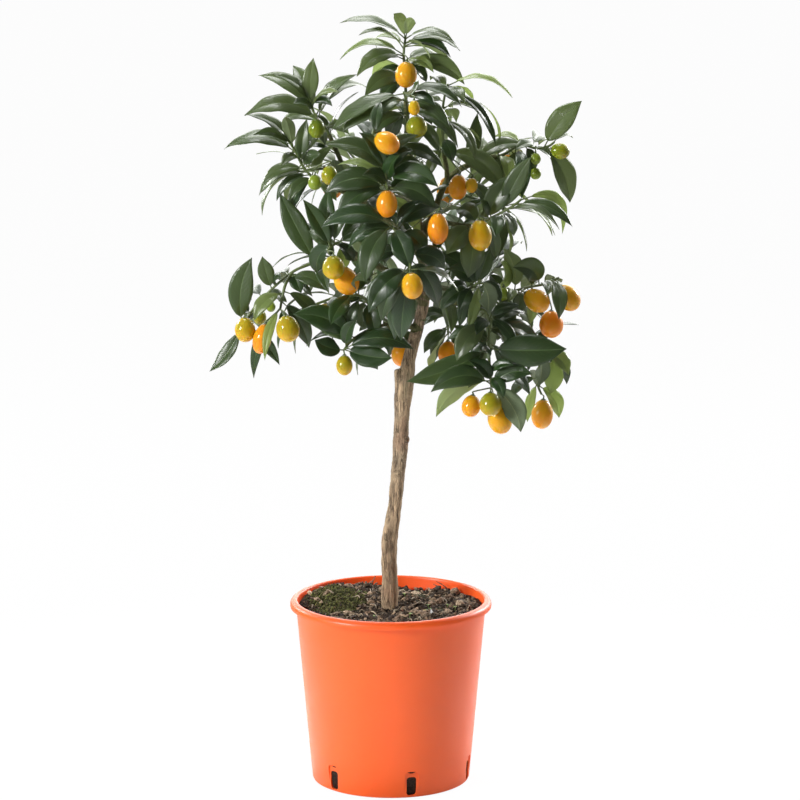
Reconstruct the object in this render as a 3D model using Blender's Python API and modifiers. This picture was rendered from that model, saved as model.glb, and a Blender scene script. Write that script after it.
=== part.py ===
"""Potted kumquat tree.

A small citrus tree with one crooked stem, its crown of leafy sprays hung with
kumquats, standing in potting soil in a flared plastic pot with a curled lip.
Metres, +Z up, origin at the centre of the pot's underside, front towards -Y.

Pot, soil and wood are sized in metres. The crown is laid out in millimetres
as it is seen from the front: x and z are read on the upright plane through
the stem, and y is the depth behind that plane. seen() carries such a place
along the line of sight to its depth.
"""

import math
import random

import bmesh
import bpy
from mathutils import Vector
from mathutils.bvhtree import BVHTree

MM = 0.001
GAP = 0.0003
TINY = 0.0001
WELD = 0.00002
EYE = Vector((0.010, -4.200, 1.2702))

# Pot
POT_HEIGHT = 0.2017
BASE_RADIUS = 0.0862
FOOT_CHAMFER = (0.0024, 0.0028)
WALL = 0.0020
FLOOR_RADIUS = 0.0835
THROAT_RADIUS = 0.1018
THROAT_HEIGHT = 0.1957
# The curled lip, from the mouth over the rim to the corner under it: radius, how far below the top
LIP = (
    (0.1026, 0.0009), (0.1042, 0.0000), (0.1078, 0.0012), (0.1100, 0.0042), (0.1096, 0.0080),
    (0.1079, 0.0080), (0.1074, 0.0050), (0.1052, 0.0036), (0.1039, 0.0080),
)
POT_STEPS = 32
SLOT_COUNT = 6
SLOT_FIRST_DEG = 15.0
SLOT_WIDTH = 0.0108
SLOT_LOW = 0.0030
SLOT_HIGH = 0.0235
SLOT_CORNER = 0.0024
SLOT_REACH = 0.0200
RECESS_WIDTH = 0.0150
RECESS_RISE = 0.0065
RECESS_RADIUS = 0.0868
RECESS_REACH = 0.0100

# Soil, lumpy on top with a mossy mound, and the plain hole that the stem stands in
SOIL_LEVEL = 0.1910
SOIL_SIDE_GAP = 0.0004
SOIL_RINGS = (0.020, 0.038, 0.056, 0.073, 0.088)
SOIL_LUMP = 0.0022
MOUND_HEIGHT = 0.0075
MOUND_X = -0.062
MOUND_Y = 0.045
MOUND_SPREAD = 0.030
HOLE_RADIUS = 0.0098
HOLE_DEPTH = 0.0525
HOLE_X = -0.0014

# Leaf: rooted on its twig up to a last share, with a straight stalk for a share of its
# own length, then rows of (share, half width / width)
LAST_ROOT = 0.97
STALK_SHARE = 0.12
STALK_HALF = 0.0006
BLADE_ROWS = ((0.36, 0.47), (0.70, 0.42))
SHORT_LEAF = 0.052
SHORT_BLADE_ROWS = ((0.50, 0.50),)
BLADE_THICK = 0.0015
BLADE_ARCH = 0.21
BLADE_ASPECT = 0.31
BLADE_WIDTHS = (0.013, 0.030)
BLADE_LENGTHS = (0.030, 0.102)
CLEARANCE = 0.0007

# Leaves on the far side, in a spiral up their twig: the turn from one to the next, the lean
# away from the twig at its root and its tip, and how much that strays
SPIRAL_TURN_DEG = 137.5
SPIRAL_SHARES = (0.12, 0.98)
SPIRAL_LEAN_DEG = (62.0, 32.0)
SPIRAL_STRAY_DEG = 8.0
SPIRAL_LENGTHS = (0.060, 0.078)
DROOP = 0.25

# Stem, up through its kink and its pruned top: x, z, y and radius in mm
STEM = (
    (-1.4, 139.5, 0, 8.6), (-1.4, 184, 0, 8.9), (-1.1, 212, 0, 8.4), (-1.6, 250, 0, 8.0),
    (-1.0, 271, 0, 8.7), (3.6, 300, 0, 6.9), (7.2, 333, 0, 7.2), (9.0, 352, 0, 7.4),
    (10.9, 380, 0, 8.0), (11.4, 400, 0, 7.3), (13.6, 428, 0, 9.2), (16.5, 446, 0, 8.4),
    (20.0, 468, 0, 6.7), (25.5, 490, 0, 6.2), (31.0, 510, 0, 5.8), (36.0, 533, -2, 5.2),
    (37.5, 556, -7, 4.9), (34.0, 590, -6, 4.3), (27.5, 630, 0, 3.9), (21.0, 682, 4, 3.3),
    (17.5, 722, 3, 2.7), (16.5, 748, 2, 2.3),
)
STUB = ((11.5, 424, 0, 6.6), (10.2, 448, 0, 5.9), (10.0, 456, 0, 5.6))
KNOTS = ((6.6, 341, -5.5, 3.2), (15.5, 379, -3.5, 4.6), (17.5, 429, -3, 5.6), (-4, 271, -4, 5.6),
         (26, 494, -3, 4.4))

# Limbs: where each leaves the stem or another limb, to the spur that carries a spray.
# The thin ones have four sides, those thicker than this at their root have six.
THICK_LIMB = 2.9
LIMBS = {
    "left": ((35, 530, -3, 3.6), (8, 556, 12, 3.2), (-35, 578, 8, 2.9), (-78, 573, -6, 2.4)),
    "left_front": ((-30, 576, 8, 2.3), (-44, 588, -22, 2.2), (-53, 592, -46, 2.1)),
    "left_low": ((28, 502, -1, 3.0), (6, 506, -16, 2.7), (-20, 500, -36, 2.4), (-40, 489, -52, 2.1)),
    "left_mid": ((6, 506, -16, 2.2), (-8, 520, -34, 2.1), (-22, 528, -44, 2.0)),
    "upper_left": ((34, 582, -6, 3.4), (2, 614, 22, 3.1), (-40, 645, 18, 2.8), (-72, 659, 4, 2.3)),
    "upper_left_top": ((-40, 645, 18, 2.4), (-54, 685, 15, 2.2), (-66, 712, 7, 2.1)),
    "centre": ((37, 556, -8, 3.2), (30, 582, -48, 2.8), (16, 602, -84, 2.3)),
    "centre_upper": ((27, 634, 0, 2.8), (13, 642, -38, 2.4), (1, 646, -70, 2.1)),
    "upper_front": ((20.5, 690, 4, 2.4), (17, 706, -16, 2.2), (17, 717, -34, 2.1)),
    "right": ((36, 538, -3, 3.4), (56, 534, -7, 3.0), (75, 533, -10, 2.6), (94, 535, -2, 2.2)),
    "right_spur": ((66, 533.5, -9, 2.2), (76, 538, -24, 2.1), (80, 541, -34, 2.0)),
    "right_low": ((60, 534, -8, 2.4), (76, 527, -30, 2.2), (93, 523, -43, 2.0)),
    "right_far": ((84, 534, -6, 2.3), (118, 512, 30, 2.2), (138, 494, 34, 2.1), (150, 484, 31, 2.0)),
    "right_upper": ((33, 592, -6, 3.4), (45, 625, 12, 3.1), (62, 664, 10, 2.8), (88, 681, 8, 2.5),
                    (113, 688, 6, 2.2)),
    "right_upper_front": ((60, 660, 10, 2.3), (60, 674, -8, 2.2), (57, 690, -18, 2.0)),
    "right_middle": ((44, 622, 11, 2.5), (67, 615, -18, 2.3), (86, 613, -38, 2.1)),
    "back_upper_left": ((26.5, 640, 1, 2.8), (8, 650, 36, 2.5), (-14, 660, 68, 2.1)),
    "back_upper_right": ((31, 610, -3, 2.8), (50, 626, 42, 2.5), (66, 634, 70, 2.1)),
    "back_left": ((32, 513, 0, 2.8), (12, 530, 40, 2.5), (-12, 545, 70, 2.1)),
    "back_right": ((37, 550, -6, 2.8), (54, 546, 40, 2.5), (74, 543, 68, 2.1)),
}

# Each spray: the limb or spray it grows on, its twigs, its fruits.
# A twig is its path (x, z, y) and its leaves. A leaf that shows from the front is
# (share of the twig, tip x, tip z, how much nearer the tip is, face[, width[, arch]]),
# face from 1, top side to the front, to -1, underside to the front, and arch 1 where
# the rib rises as on most leaves, or less than 0 where it sags. A twig on the
# far side has a number in the place of its leaves, which then stand in a spiral.
# A fruit is (x, z, y, width, length, lean of its stalk end in degrees, colour).
SPRAYS = {
    "spray_crown_top": {
        "seat": "stem",
        "twigs": (
            (((15.5, 772, -2), (14, 798, -4), (16, 816, -4)), (
                (0.95, 3, 841, 34, -0.8, 13), (1.0, 26, 833, 26, -0.8, 12), (0.98, -54, 831, 0, 0.2),
                (0.80, -34, 818, 24, 0.2), (0.88, -22, 809, -30, 0.3), (0.97, 69, 809, 12, 0.2, 16),
                (0.90, 74, 801, -14, 0.3), (0.90, 42, 793, 30, -0.4, 16), (0.70, -36, 774, 26, 0.45, 22),
                (0.55, 79, 765, 12, 0.6), (0.60, 46, 778, 26, 0.4, 15), (0.72, -54, 792, -28, 0.2),
                (0.34, -28, 752, 30, 0.7, 20), (0.45, -20, 775, -30, -0.4, 20), (0.62, 58, 786, -34, 0.4),
                (0.85, 68, 778, -6, -0.3, 14), (0.28, 44, 744, -40, 0.4))),
        ),
        "fruits": ((16.5, 776, -28, 23, 28, 4, "yellow"),),
    },
    "spray_upper_front": {
        "seat": "upper_front",
        "twigs": (
            (((17, 726, -44), (18, 740, -52), (14, 758, -54)), (
                (0.80, -52, 714, 12, 0.5, 24), (0.95, -63, 716, -16, 0.3), (0.95, 76, 741, 6, 0.3),
                (0.55, 72, 697, 8, 0.4, 17), (0.75, 63, 719, 24, 0.4), (0.40, -20, 710, 22, 0.8),
                (1.0, 30, 770, 4, 0.5, 16), (0.30, 52, 692, 20, 0.6), (0.60, -22, 722, -26, -0.4, 18))),
        ),
        "fruits": ((25, 740.5, -80, 12, 16, 0, "yellow"), (27.6, 720, -64, 22.5, 23.5, 0, "green")),
    },
    "spray_upper_left": {
        "seat": "upper_left_top",
        "twigs": (
            (((-74, 724, 2), (-82, 736, -4), (-86, 746, -6)), (
                (0.80, -141, 775, -6, 0.5), (1.0, -126, 776, 12, 0.4), (0.95, -82, 794, -10, 0.8, 18),
                (0.50, -36, 776, 8, 0.3, 22), (0.62, -25, 762, -14, 0.3), (0.85, -55, 757, 30, 0.4, 14),
                (0.45, -156, 732, 16, 0.5), (0.35, -118, 722, -26, 0.5), (0.22, -44, 712, 14, 0.6),
                (0.08, -92, 692, -10, 0.5, 18), (0.70, -104, 786, -30, 0.6))),
        ),
        "fruits": ((-79, 718.5, -16, 17.5, 21.5, 0, "green"),),
    },
    "spray_left_upper": {
        "seat": "upper_left",
        "twigs": (
            (((-82, 664, 0), (-94, 678, -4), (-101, 692, -6), (-107, 702, -8)), (
                (1.0, -155, 733, 4, 0.3), (0.95, -147, 711, 22, 0.5), (0.78, -178, 696, 4, 0.35, 26),
                (0.90, -113, 731, 26, -0.7), (0.55, -89, 729, -10, 0.7), (0.60, -117, 676, 40, 0.6),
                (0.42, -138, 657, 10, 0.5), (0.35, -141, 646, -12, 0.4), (0.18, -108, 640, 12, 0.7),
                (0.25, -60, 700, -14, 0.5), (0.15, -58, 640, -10, 0.5), (0.60, -96, 700, -60, 0.3),
                (0.85, -126, 706, -50, 0.3))),
        ),
        "fruits": ((-81, 659, -22, 15, 17, 0, "bud"), (-65.5, 668, -30, 17.5, 21, 0, "green")),
    },
    "spray_centre_upper": {
        "seat": "centre_upper",
        "twigs": (
            (((-4, 656, -82), (-6, 680, -87), (-12, 700, -82), (-19, 717, -90)), (
                (0.36, -71, 701, 12, 0.6), (0.28, -57, 679, -8, 0.4, 14), (0.42, -34, 714, 14, 0.7),
                (0.46, 26, 691, -24, 0.5), (0.30, 51, 655, 18, 0.7, 24), (0.52, 30, 711, -2, 0.7),
                (0.18, -71, 648, 6, 0.7, 26), (0.90, -10, 748, -20, 0.6), (0.16, 48, 632, 4, 0.7, 24),
                (0.22, -42, 630, -20, 0.6), (0.60, 56, 676, -22, 0.5), (0.08, 31, 601, 2, 0.5, 15),
                (0.70, 8, 668, -30, 0.6, 24), (0.34, 40, 668, -6, 0.6, 24), (0.12, -58, 620, -6, 0.6, 22))),
        ),
        "fruits": ((-4, 703, -104, 23, 28, -58, "orange"), (-4, 637, -104, 22, 29, 2, "orange")),
    },
    "spray_centre": {
        "seat": "centre",
        "twigs": (
            (((10, 608, -96), (0, 613, -106)), (
                (1.0, -27, 551, 24, 0.7, 27), (0.9, 21, 566, 20, 0.8, 25), (1.0, -75, 611, 6, 0.6, 24),
                (0.8, -32, 645, 4, 0.5), (0.5, -46, 588, -22, 0.5), (0.7, 36, 640, -10, 0.6),
                (0.4, 37, 583, -10, 0.6, 22), (0.6, 58, 628, -34, 0.6, 24))),
            (((13, 604, -90), (19, 586, -110), (21, 570, -126), (21, 564, -130)), (
                (1.0, 73, 541, -2, -0.2, 26), (0.97, -24, 518, 20, 0.8, 26), (0.88, -10, 509, -4, 0.6),
                (0.80, 4, 489, -20, 0.7, 25), (0.97, 11, 488, -26, 0.8, 26), (0.60, 58, 566, -22, 0.7, 24),
                (0.50, -38, 560, -24, 0.6, 22), (0.70, 50, 524, -26, 0.6))),
        ),
        "fruits": ((23, 548, -142, 22.5, 28, -8, "yellow"), (8, 537, -96, 21, 26, 10, "orange"),
                   (50.7, 610, -92, 22, 33.5, 0, "orange")),
    },
    "spray_left_front": {
        "seat": "left_front",
        "twigs": (
            (((-57, 595, -56), (-62, 592, -62), (-68, 586, -66)), (
                (0.20, -49, 566, -12, 0.4, 16), (0.8, -94, 642, 8, 0.6),
                (0.6, -40, 640, -4, 0.5), (0.5, -10, 590, -14, 0.5), (0.7, -79, 561, -30, 0.7, 22),
                (0.25, -14, 620, -26, 0.5), (0.75, -66, 655, -30, 0.5))),
        ),
        "fruits": ((-61.5, 568, -76, 23.5, 25.7, 0, "yellow"), (-48, 553.5, -56, 26, 32, -32, "orange")),
    },
    "spray_left_mid": {
        "seat": "left_mid",
        "twigs": (
            (((-28, 534, -50), (-36, 538, -56), (-44, 536, -60)), (
                (0.3, -66, 513, 12, 0.5), (0.2, -16, 492, 14, 0.7, 20), (0.9, -65, 505, 30, 0.7, 20, 0.5),
                (0.66, -20, 566, -26, 0.6, 22), (0.5, -44, 492, 2, 0.7))),
        ),
        "fruits": (),
    },
    "spray_left_low": {
        "seat": "left_low",
        "twigs": (
            (((-46, 484, -58), (-51, 477, -64)), (
                (1.0, 25, 478, 4, 0.5, 24), (0.9, 2, 469, 14, 0.7, 26, -0.3), (0.7, -36, 512, 16, 0.7, 15),
                (0.95, -82, 489, 10, 0.6, 22, -0.5), (0.1, -106, 517, 16, 0.9, 28), (0.6, -62, 536, -10, 0.6),
                (0.8, -14, 456, -10, 0.6, 20), (0.5, -54, 500, -46, 0.3), (0.3, -84, 514, -30, 0.4))),
        ),
        "fruits": ((-50, 461, -68, 17.5, 22, 0, "yellow"),),
    },
    "spray_left_far": {
        "seat": "left",
        "twigs": (
            (((-88, 571, -9), (-104, 564, -12), (-124, 548, -12), (-147, 524, -10), (-164, 499, -8)), (
                (0.02, -119, 649, -4, 0.9, 25, -0.5), (0.50, -138, 580, 10, 0.9, 18),
                (0.93, -149, 579, 8, 0.9, 27), (1.0, -196, 454, 4, 0.6, 17, -0.4),
                (0.98, -120, 461, -22, 0.6, 15), (0.62, -150, 532, -60, 0.3), (0.30, -112, 548, -58, 0.3),
                (0.85, -140, 500, -58, 0.3), (0.40, -84, 536, -30, 0.5))),
            (((-106, 562, -12), (-113, 550, -22), (-117, 534, -26), (-119, 522, -28)), (
                (0.60, -147, 510, 12, 0.5, 18), (1.0, -136, 466, 18, 0.5, 11), (0.95, -148, 446, 8, 0.5, 14),
                (0.55, -76, 506, -14, 0.5), (0.8, -88, 480, -20, 0.6), (0.12, -68, 542, 8, 0.5, 18),
                (1.0, -110, 492, 24, 0.8, 14))),
        ),
        "fruits": ((-157, 500, -30, 22, 27, 0, "yellow"), (-138.5, 490, -36, 20, 33, 14, "orange"),
                   (-111, 501, -50, 25, 29, -10, "yellow"), (-141, 514, -6, 14, 17, 0, "green"),
                   (-129, 524, -8, 10, 12, 0, "bud")),
    },
    "spray_right_upper_front": {
        "seat": "right_upper_front",
        "twigs": (
            (((56, 706, -24), (55, 730, -28), (57, 750, -30), (61, 766, -32)), (
                (1.0, 130, 751, -6, 0.15, 18), (0.66, 98, 732, 0, 0.2, 16), (0.50, 90, 684, 8, 0.4, 19),
                (0.92, 79, 745, 10, 0.3, 14), (0.95, 89, 746, -18, -0.2, 12), (0.40, 20, 694, -16, 0.5),
                (0.75, 34, 738, -24, 0.5), (0.05, 122, 648, 6, 0.7, 24), (0.60, 70, 724, -50, 0.3),
                (0.85, 42, 770, -44, 0.3), (0.12, 40, 664, 6, 0.6), (0.30, 96, 704, -34, 0.4))),
        ),
        "fruits": ((72, 655, -34, 20, 27, 6, "orange"), (86.5, 657, -44, 13, 16, 0, "yellow")),
    },
    "spray_right_top": {
        "seat": "right_upper",
        "twigs": (
            (((124, 692, 4), (139, 701, 0), (155, 697, 0), (168, 699, -2), (175, 704, -2)), (
                (0.55, 90, 682, 22, 0.4, 18), (0.45, 110, 709, -6, 0.3, 14), (0.70, 133, 695, 6, 0.2, 16),
                (0.82, 204, 748, 2, 0.7, 26), (1.0, 195, 708, 8, 0.1, 10), (0.84, 192, 638, -2, 0.6, 27, 0.6),
                (0.35, 125, 651, 6, 0.6, 20), (0.05, 125, 661, 16, 0.4, 16),
                (0.02, 95, 746, 10, 0.2, 11), (0.25, 138, 664, 8, 0.4, 14), (0.60, 158, 700, -60, 0.3),
                (0.30, 130, 676, -50, 0.3))),
        ),
        "fruits": ((181, 694, -4, 17, 21, -78, "green"), (122, 678, 18, 20, 26, 8, "orange"),
                   (155, 684.5, -12, 11, 13, 0, "bud"), (155, 668.5, -10, 12, 13, 0, "bud")),
    },
    "spray_right_middle": {
        "seat": "right_middle",
        "twigs": (
            (((96, 616, -44), (112, 624, -50), (130, 634, -54), (140, 642, -54)), (
                (0.30, 131, 668, 4, 0.8, 25), (0.62, 150, 688, 8, 0.7, 22), (0.85, 195, 612, 2, 0.25, 20),
                (0.70, 181, 609, 16, 0.2, 14), (1.0, 184, 604, -20, 0.3, 16), (0.05, 83, 556, 12, 0.8, 27),
                (0.02, 60, 582, 14, 0.7, 25), (0.40, 80, 660, -16, 0.5), (0.20, 112, 576, -20, 0.6),
                (0.12, 70, 630, -14, 0.6, 22))),
        ),
        "fruits": ((96, 603, -66, 24.5, 33, -3, "yellow"),),
    },
    "spray_right_node": {
        "seat": "right_spur",
        "twigs": (
            (((84, 544, -40), (92, 550, -46), (98, 553, -48)), (
                (0.8, 107, 589, 4, 0.8, 18), (1.0, 105, 518, 24, -0.6, 24), (0.4, 54, 521, 6, 0.6, 17),
                (0.6, 60, 566, 2, 0.7, 20), (0.9, 84, 500, -8, 0.5, 12), (0.45, 48, 584, -8, 0.6, 22),
                (0.5, 76, 592, -20, 0.6), (0.3, 62, 540, 24, 0.5), (0.2, 74, 503, -14, 0.6))),
        ),
        "fruits": (),
    },
    "spray_right": {
        "seat": "right",
        "twigs": (
            (((106, 538, -4), (128, 541, -8), (146, 546, -10), (166, 550, -10), (181, 557, -10)), (
                (0.45, 121, 589, 8, -0.6, 22), (0.75, 131, 568, 26, 0.9, 26), (0.30, 118, 575, 20, 0.5, 20),
                (0.78, 168, 538, 4, 0.7, 12), (0.92, 181, 511, 12, 0.8, 17), (0.42, 126, 529, 34, 0.5),
                (0.36, 115, 488, 14, 0.8, 27), (0.60, 150, 506, -22, 0.6), (0.95, 168, 536, -56, 0.3),
                (0.70, 140, 540, -58, 0.3), (0.20, 150, 492, -34, 0.5), (0.15, 104, 500, -22, 0.5))),
        ),
        "fruits": ((157, 532, -30, 24, 30, -56, "yellow"), (191, 535, -14, 24, 31, -34, "orange"),
                   (173, 506, 2, 26, 30, 0, "orange"), (121, 538, -30, 13, 15, 0, "bud")),
    },
    "spray_right_stem": {
        "seat": "right_low",
        "twigs": (
            (((101, 521, -48), (106, 510, -52), (106, 492, -56), (106, 475, -58)), (
                (0.93, 190, 479, 6, 0.9, 36, -0.1), (0.45, 71, 465, 20, 0.6, 25),
                (0.90, 17, 443, 14, 0.7, 28, -0.3), (0.20, 71, 471, 2, 0.6, 16), (0.65, 146, 516, -44, 0.4),
                (0.30, 134, 476, -16, 0.5), (0.75, 60, 488, -22, 0.5), (0.55, 160, 476, -30, 0.5),
                (0.80, 126, 444, -18, 0.5), (0.35, 140, 526, -14, 0.5))),
        ),
        "fruits": (),
    },
    "spray_right_low": {
        "seat": "spray_right_stem",
        "twigs": (
            (((107, 456, -60), (108, 444, -62), (109, 436, -63)), (
                (0.90, 43, 431, 10, 0.8, 25), (0.80, 49, 404, -22, -0.5, 24), (0.85, 84, 466, 12, 0.7, 17),
                (1.0, 154, 451, 8, 0.8, 20), (0.60, 133, 461, 14, 0.6, 12), (0.95, 141, 387, -6, -0.6, 28),
                (0.40, 60, 456, -12, 0.6), (0.50, 150, 428, -26, 0.5))),
        ),
        "fruits": ((108, 418, -78, 23.5, 25.6, 0, "green"), (118, 402, -56, 26, 33.6, -14, "orange"),
                   (87, 416, -64, 20, 24, 10, "orange")),
    },
    "spray_right_hanging": {
        "seat": "right_far",
        "twigs": (
            (((160, 478, 26), (168, 473, 22), (176, 471, 18)), (
                (0.6, 192, 450, 10, 0.5, 20), (1.0, 172, 429, 4, 0.6, 22), (0.4, 160, 438, 20, -0.5, 22),
                (0.9, 176, 470, -54, 0.3), (0.3, 170, 504, -30, 0.5))),
            (((164, 475, 24), (160, 456, 18), (159, 440, 14), (163, 429, 10)), (
                (0.70, 148, 398, -6, 0.4, 12), (0.78, 182, 403, -10, 0.5, 19), (0.5, 160, 434, -52, 0.3),
                (0.6, 130, 424, -10, 0.6), (0.30, 124, 452, -18, 0.5))),
        ),
        "fruits": ((164, 407, 2, 23.5, 32.5, 4, "orange"),),
    },
    "spray_back_upper_left": {
        "seat": "back_upper_left",
        "twigs": (
            (((-22, 668, 84), (-40, 688, 106), (-54, 704, 116)), 7),
            (((-30, 678, 94), (-64, 676, 108), (-96, 672, 112)), 7),
            (((-26, 672, 88), (-18, 704, 118), (-4, 736, 124)), 7),
        ),
        "fruits": ((-62, 656, 112, 22, 28, 0, "orange"),),
    },
    "spray_back_upper_right": {
        "seat": "back_upper_right",
        "twigs": (
            (((74, 640, 84), (90, 652, 106), (97, 666, 116)), 7),
            (((80, 646, 92), (104, 638, 106), (124, 630, 104)), 7),
            (((76, 644, 88), (64, 670, 122), (52, 700, 132)), 7),
        ),
        "fruits": ((60, 652, 128, 22, 29, 0, "orange"),),
    },
    "spray_back_left": {
        "seat": "back_left",
        "twigs": (
            (((-20, 550, 84), (-46, 566, 110), (-72, 578, 122)), 7),
            (((-26, 554, 90), (-60, 536, 112), (-92, 524, 106)), 7),
            (((-24, 553, 88), (-16, 576, 130), (-6, 608, 150)), 7),
            (((-20, 549, 82), (-14, 518, 74), (6, 502, 62), (12, 496, 52)), (
                (0.35, -46, 530, -16, 0.4), (0.60, -34, 498, -10, 0.4), (0.85, 32, 516, -24, 0.4),
                (0.45, -6, 494, -30, 0.4))),
        ),
        "fruits": ((11.6, 473, 44, 22, 27, 0, "orange"), (-70, 516, 118, 21, 27, 0, "yellow")),
    },
    "spray_back_right": {
        "seat": "back_right",
        "twigs": (
            (((80, 546, 80), (100, 560, 104), (114, 574, 114)), 7),
            (((86, 549, 88), (114, 530, 108), (134, 516, 102)), 7),
            (((84, 548, 86), (68, 572, 128), (46, 600, 154)), 7),
            (((80, 544, 78), (66, 520, 74), (62, 502, 52), (62, 495, 42)), (
                (0.98, 42, 456, 4, -0.3, 18), (0.40, 98, 516, -14, 0.4), (0.62, 30, 514, -16, 0.4),
                (0.75, 92, 480, -14, 0.4))),
        ),
        "fruits": ((62, 474, 30, 22, 27, 0, "orange"), (114, 508, 112, 22, 28, 0, "orange")),
    },
}
TWIG_RADIUS = (1.9, 1.2)
STALK_RADIUS = 0.9
CALYX_RADIUS = 3.3
CALYX_THICK = 1.3

# Sides and rings of a ripe fruit and of a bud that has barely set, and how much an egg
# shape narrows at its stalk end and at both ends. A stalk starts out straight from a fruit
# that hangs further than this from its twig, in mm.
FRUIT_FACETS = (8, 5)
BUD_FACETS = (6, 4)
EGG_TAPER = 0.12
EGG_POINT = 0.10
STALK_START = 4
FRUIT_AWAY = 9

# Base colour, roughness
FINISH = {
    "pot": ((0.86, 0.115, 0.035), 0.42),
    "soil": ((0.045, 0.030, 0.020), 0.95),
    "trunk": ((0.27, 0.20, 0.135), 0.80),
    "leaf": ((0.035, 0.095, 0.022), 0.35),
    "orange": ((0.87, 0.33, 0.02), 0.30),
    "yellow": ((0.62, 0.40, 0.02), 0.30),
    "green": ((0.15, 0.20, 0.025), 0.32),
}


def seen(x, z, y):
    """A place read at x, z on the stem's plane, carried along the line of sight to depth y."""
    on_plane = Vector((x * MM, 0.0, z * MM))
    reach = (y * MM - EYE.y) / (0.0 - EYE.y)
    return EYE + (on_plane - EYE) * reach


def between(ends, share):
    return ends[0] + (ends[1] - ends[0]) * share


def clear_scene():
    for obj in list(bpy.data.objects):
        bpy.data.objects.remove(obj, do_unlink=True)


def new_collection(name):
    collection = bpy.data.collections.new(name)
    bpy.context.scene.collection.children.link(collection)
    return collection


def material(name):
    found = bpy.data.materials.get(name)
    if found:
        return found
    colour, roughness = FINISH[name]
    made = bpy.data.materials.new(name)
    made.use_nodes = True
    shader = made.node_tree.nodes["Principled BSDF"]
    shader.inputs["Base Color"].default_value = (*colour, 1.0)
    shader.inputs["Roughness"].default_value = roughness
    shader.inputs["Metallic"].default_value = 0.0
    return made


def object_from(mesh, name, finish, collection):
    obj = bpy.data.objects.new(name, mesh)
    mesh.name = name
    mesh.materials.clear()
    mesh.materials.append(material(finish))
    collection.objects.link(obj)
    return obj


def mesh_from_bmesh(bm, name):
    mesh = bpy.data.meshes.new(name)
    bm.to_mesh(mesh)
    bm.free()
    return mesh


def evaluated_mesh(obj):
    """The object's mesh with its modifiers applied."""
    bpy.context.view_layer.update()
    graph = bpy.context.evaluated_depsgraph_get()
    return bpy.data.meshes.new_from_object(obj.evaluated_get(graph))


def turned(name, profile, finish, collection):
    """A profile of (radius, height), spun round Z."""
    mesh = bpy.data.meshes.new(name)
    points = [(radius, 0.0, height) for radius, height in profile]
    mesh.from_pydata(points, [(i, i + 1) for i in range(len(points) - 1)], [])
    obj = object_from(mesh, name, finish, collection)
    screw = obj.modifiers.new("turn", "SCREW")
    screw.steps = POT_STEPS
    screw.render_steps = POT_STEPS
    screw.use_merge_vertices = True
    screw.merge_threshold = WELD
    return obj


def tube(name, points, radii, finish, collection, resolution=1):
    """A round tube with a radius at each point, made a mesh and its caps welded on."""
    curve = bpy.data.curves.new(name, "CURVE")
    curve.dimensions = "3D"
    curve.bevel_depth = 1.0
    curve.bevel_resolution = resolution
    curve.use_fill_caps = True
    spline = curve.splines.new("POLY")
    spline.points.add(len(points) - 1)
    for point, place, radius in zip(spline.points, points, radii):
        point.co = (*place, 1.0)
        point.radius = radius
    holder = bpy.data.objects.new(name, curve)
    collection.objects.link(holder)
    mesh = evaluated_mesh(holder)
    bpy.data.objects.remove(holder, do_unlink=True)
    turn_outward(mesh)
    return object_from(mesh, name, finish, collection)


def turn_outward(mesh):
    """Weld the mesh's doubled corners and turn all its faces out."""
    bm = bmesh.new()
    bm.from_mesh(mesh)
    bmesh.ops.remove_doubles(bm, verts=bm.verts, dist=WELD)
    bmesh.ops.recalc_face_normals(bm, faces=bm.faces)
    bm.to_mesh(mesh)
    bm.free()


def is_closed(mesh):
    bm = bmesh.new()
    bm.from_mesh(mesh)
    closed = all(edge.is_manifold for edge in bm.edges)
    bm.free()
    return closed


def fuse(base, pieces, parts, loose):
    """One union of the base with every piece in the loose collection, applied."""
    for piece in pieces:
        if piece.name not in loose.objects:
            loose.objects.link(piece)
            parts.objects.unlink(piece)
    union = base.modifiers.new("grown together", "BOOLEAN")
    union.operation = "UNION"
    union.operand_type = "COLLECTION"
    union.collection = loose
    for solver in ("EXACT", "MANIFOLD"):
        union.solver = solver
        mesh = evaluated_mesh(base)
        if is_closed(mesh):
            break
    base.modifiers.remove(union)
    finish = base.data.materials[0]
    base.data = mesh
    mesh.materials.clear()
    mesh.materials.append(finish)
    for piece in list(loose.objects):
        bpy.data.objects.remove(piece, do_unlink=True)


def shade_round(obj, angle_deg):
    obj.data.shade_smooth()
    obj.data.set_sharp_from_angle(angle=math.radians(angle_deg))


def pot_inside(height):
    """Inner radius of the pot's wall at a height."""
    share = (height - WALL) / (THROAT_HEIGHT - WALL)
    return FLOOR_RADIUS + (THROAT_RADIUS - FLOOR_RADIUS) * share


def make_pot(parts, cutters):
    chamfer_in, chamfer_up = FOOT_CHAMFER
    profile = [(0.0, WALL), (FLOOR_RADIUS, WALL), (THROAT_RADIUS, THROAT_HEIGHT)]
    profile += [(radius, POT_HEIGHT - below) for radius, below in LIP]
    profile += [(BASE_RADIUS, chamfer_up), (BASE_RADIUS - chamfer_in, 0.0), (0.0, 0.0)]
    pot = turned("pot", profile, "pot", parts)
    for index in range(SLOT_COUNT):
        slot = slot_cutter(f"slot_{index}", SLOT_WIDTH, SLOT_HIGH, SLOT_REACH, BASE_RADIUS, cutters)
        recess = slot_cutter(f"recess_{index}", RECESS_WIDTH, SLOT_HIGH + RECESS_RISE, RECESS_REACH,
                             RECESS_RADIUS + RECESS_REACH / 2.0, cutters)
        for cutter in (slot, recess):
            cutter.rotation_euler.z = math.radians(SLOT_FIRST_DEG + index * 360.0 / SLOT_COUNT)
            cut = pot.modifiers.new("cut", "BOOLEAN")
            cut.operation = "DIFFERENCE"
            cut.object = cutter
            cut.solver = "EXACT"
    shade_round(pot, 40.0)
    return pot


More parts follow.
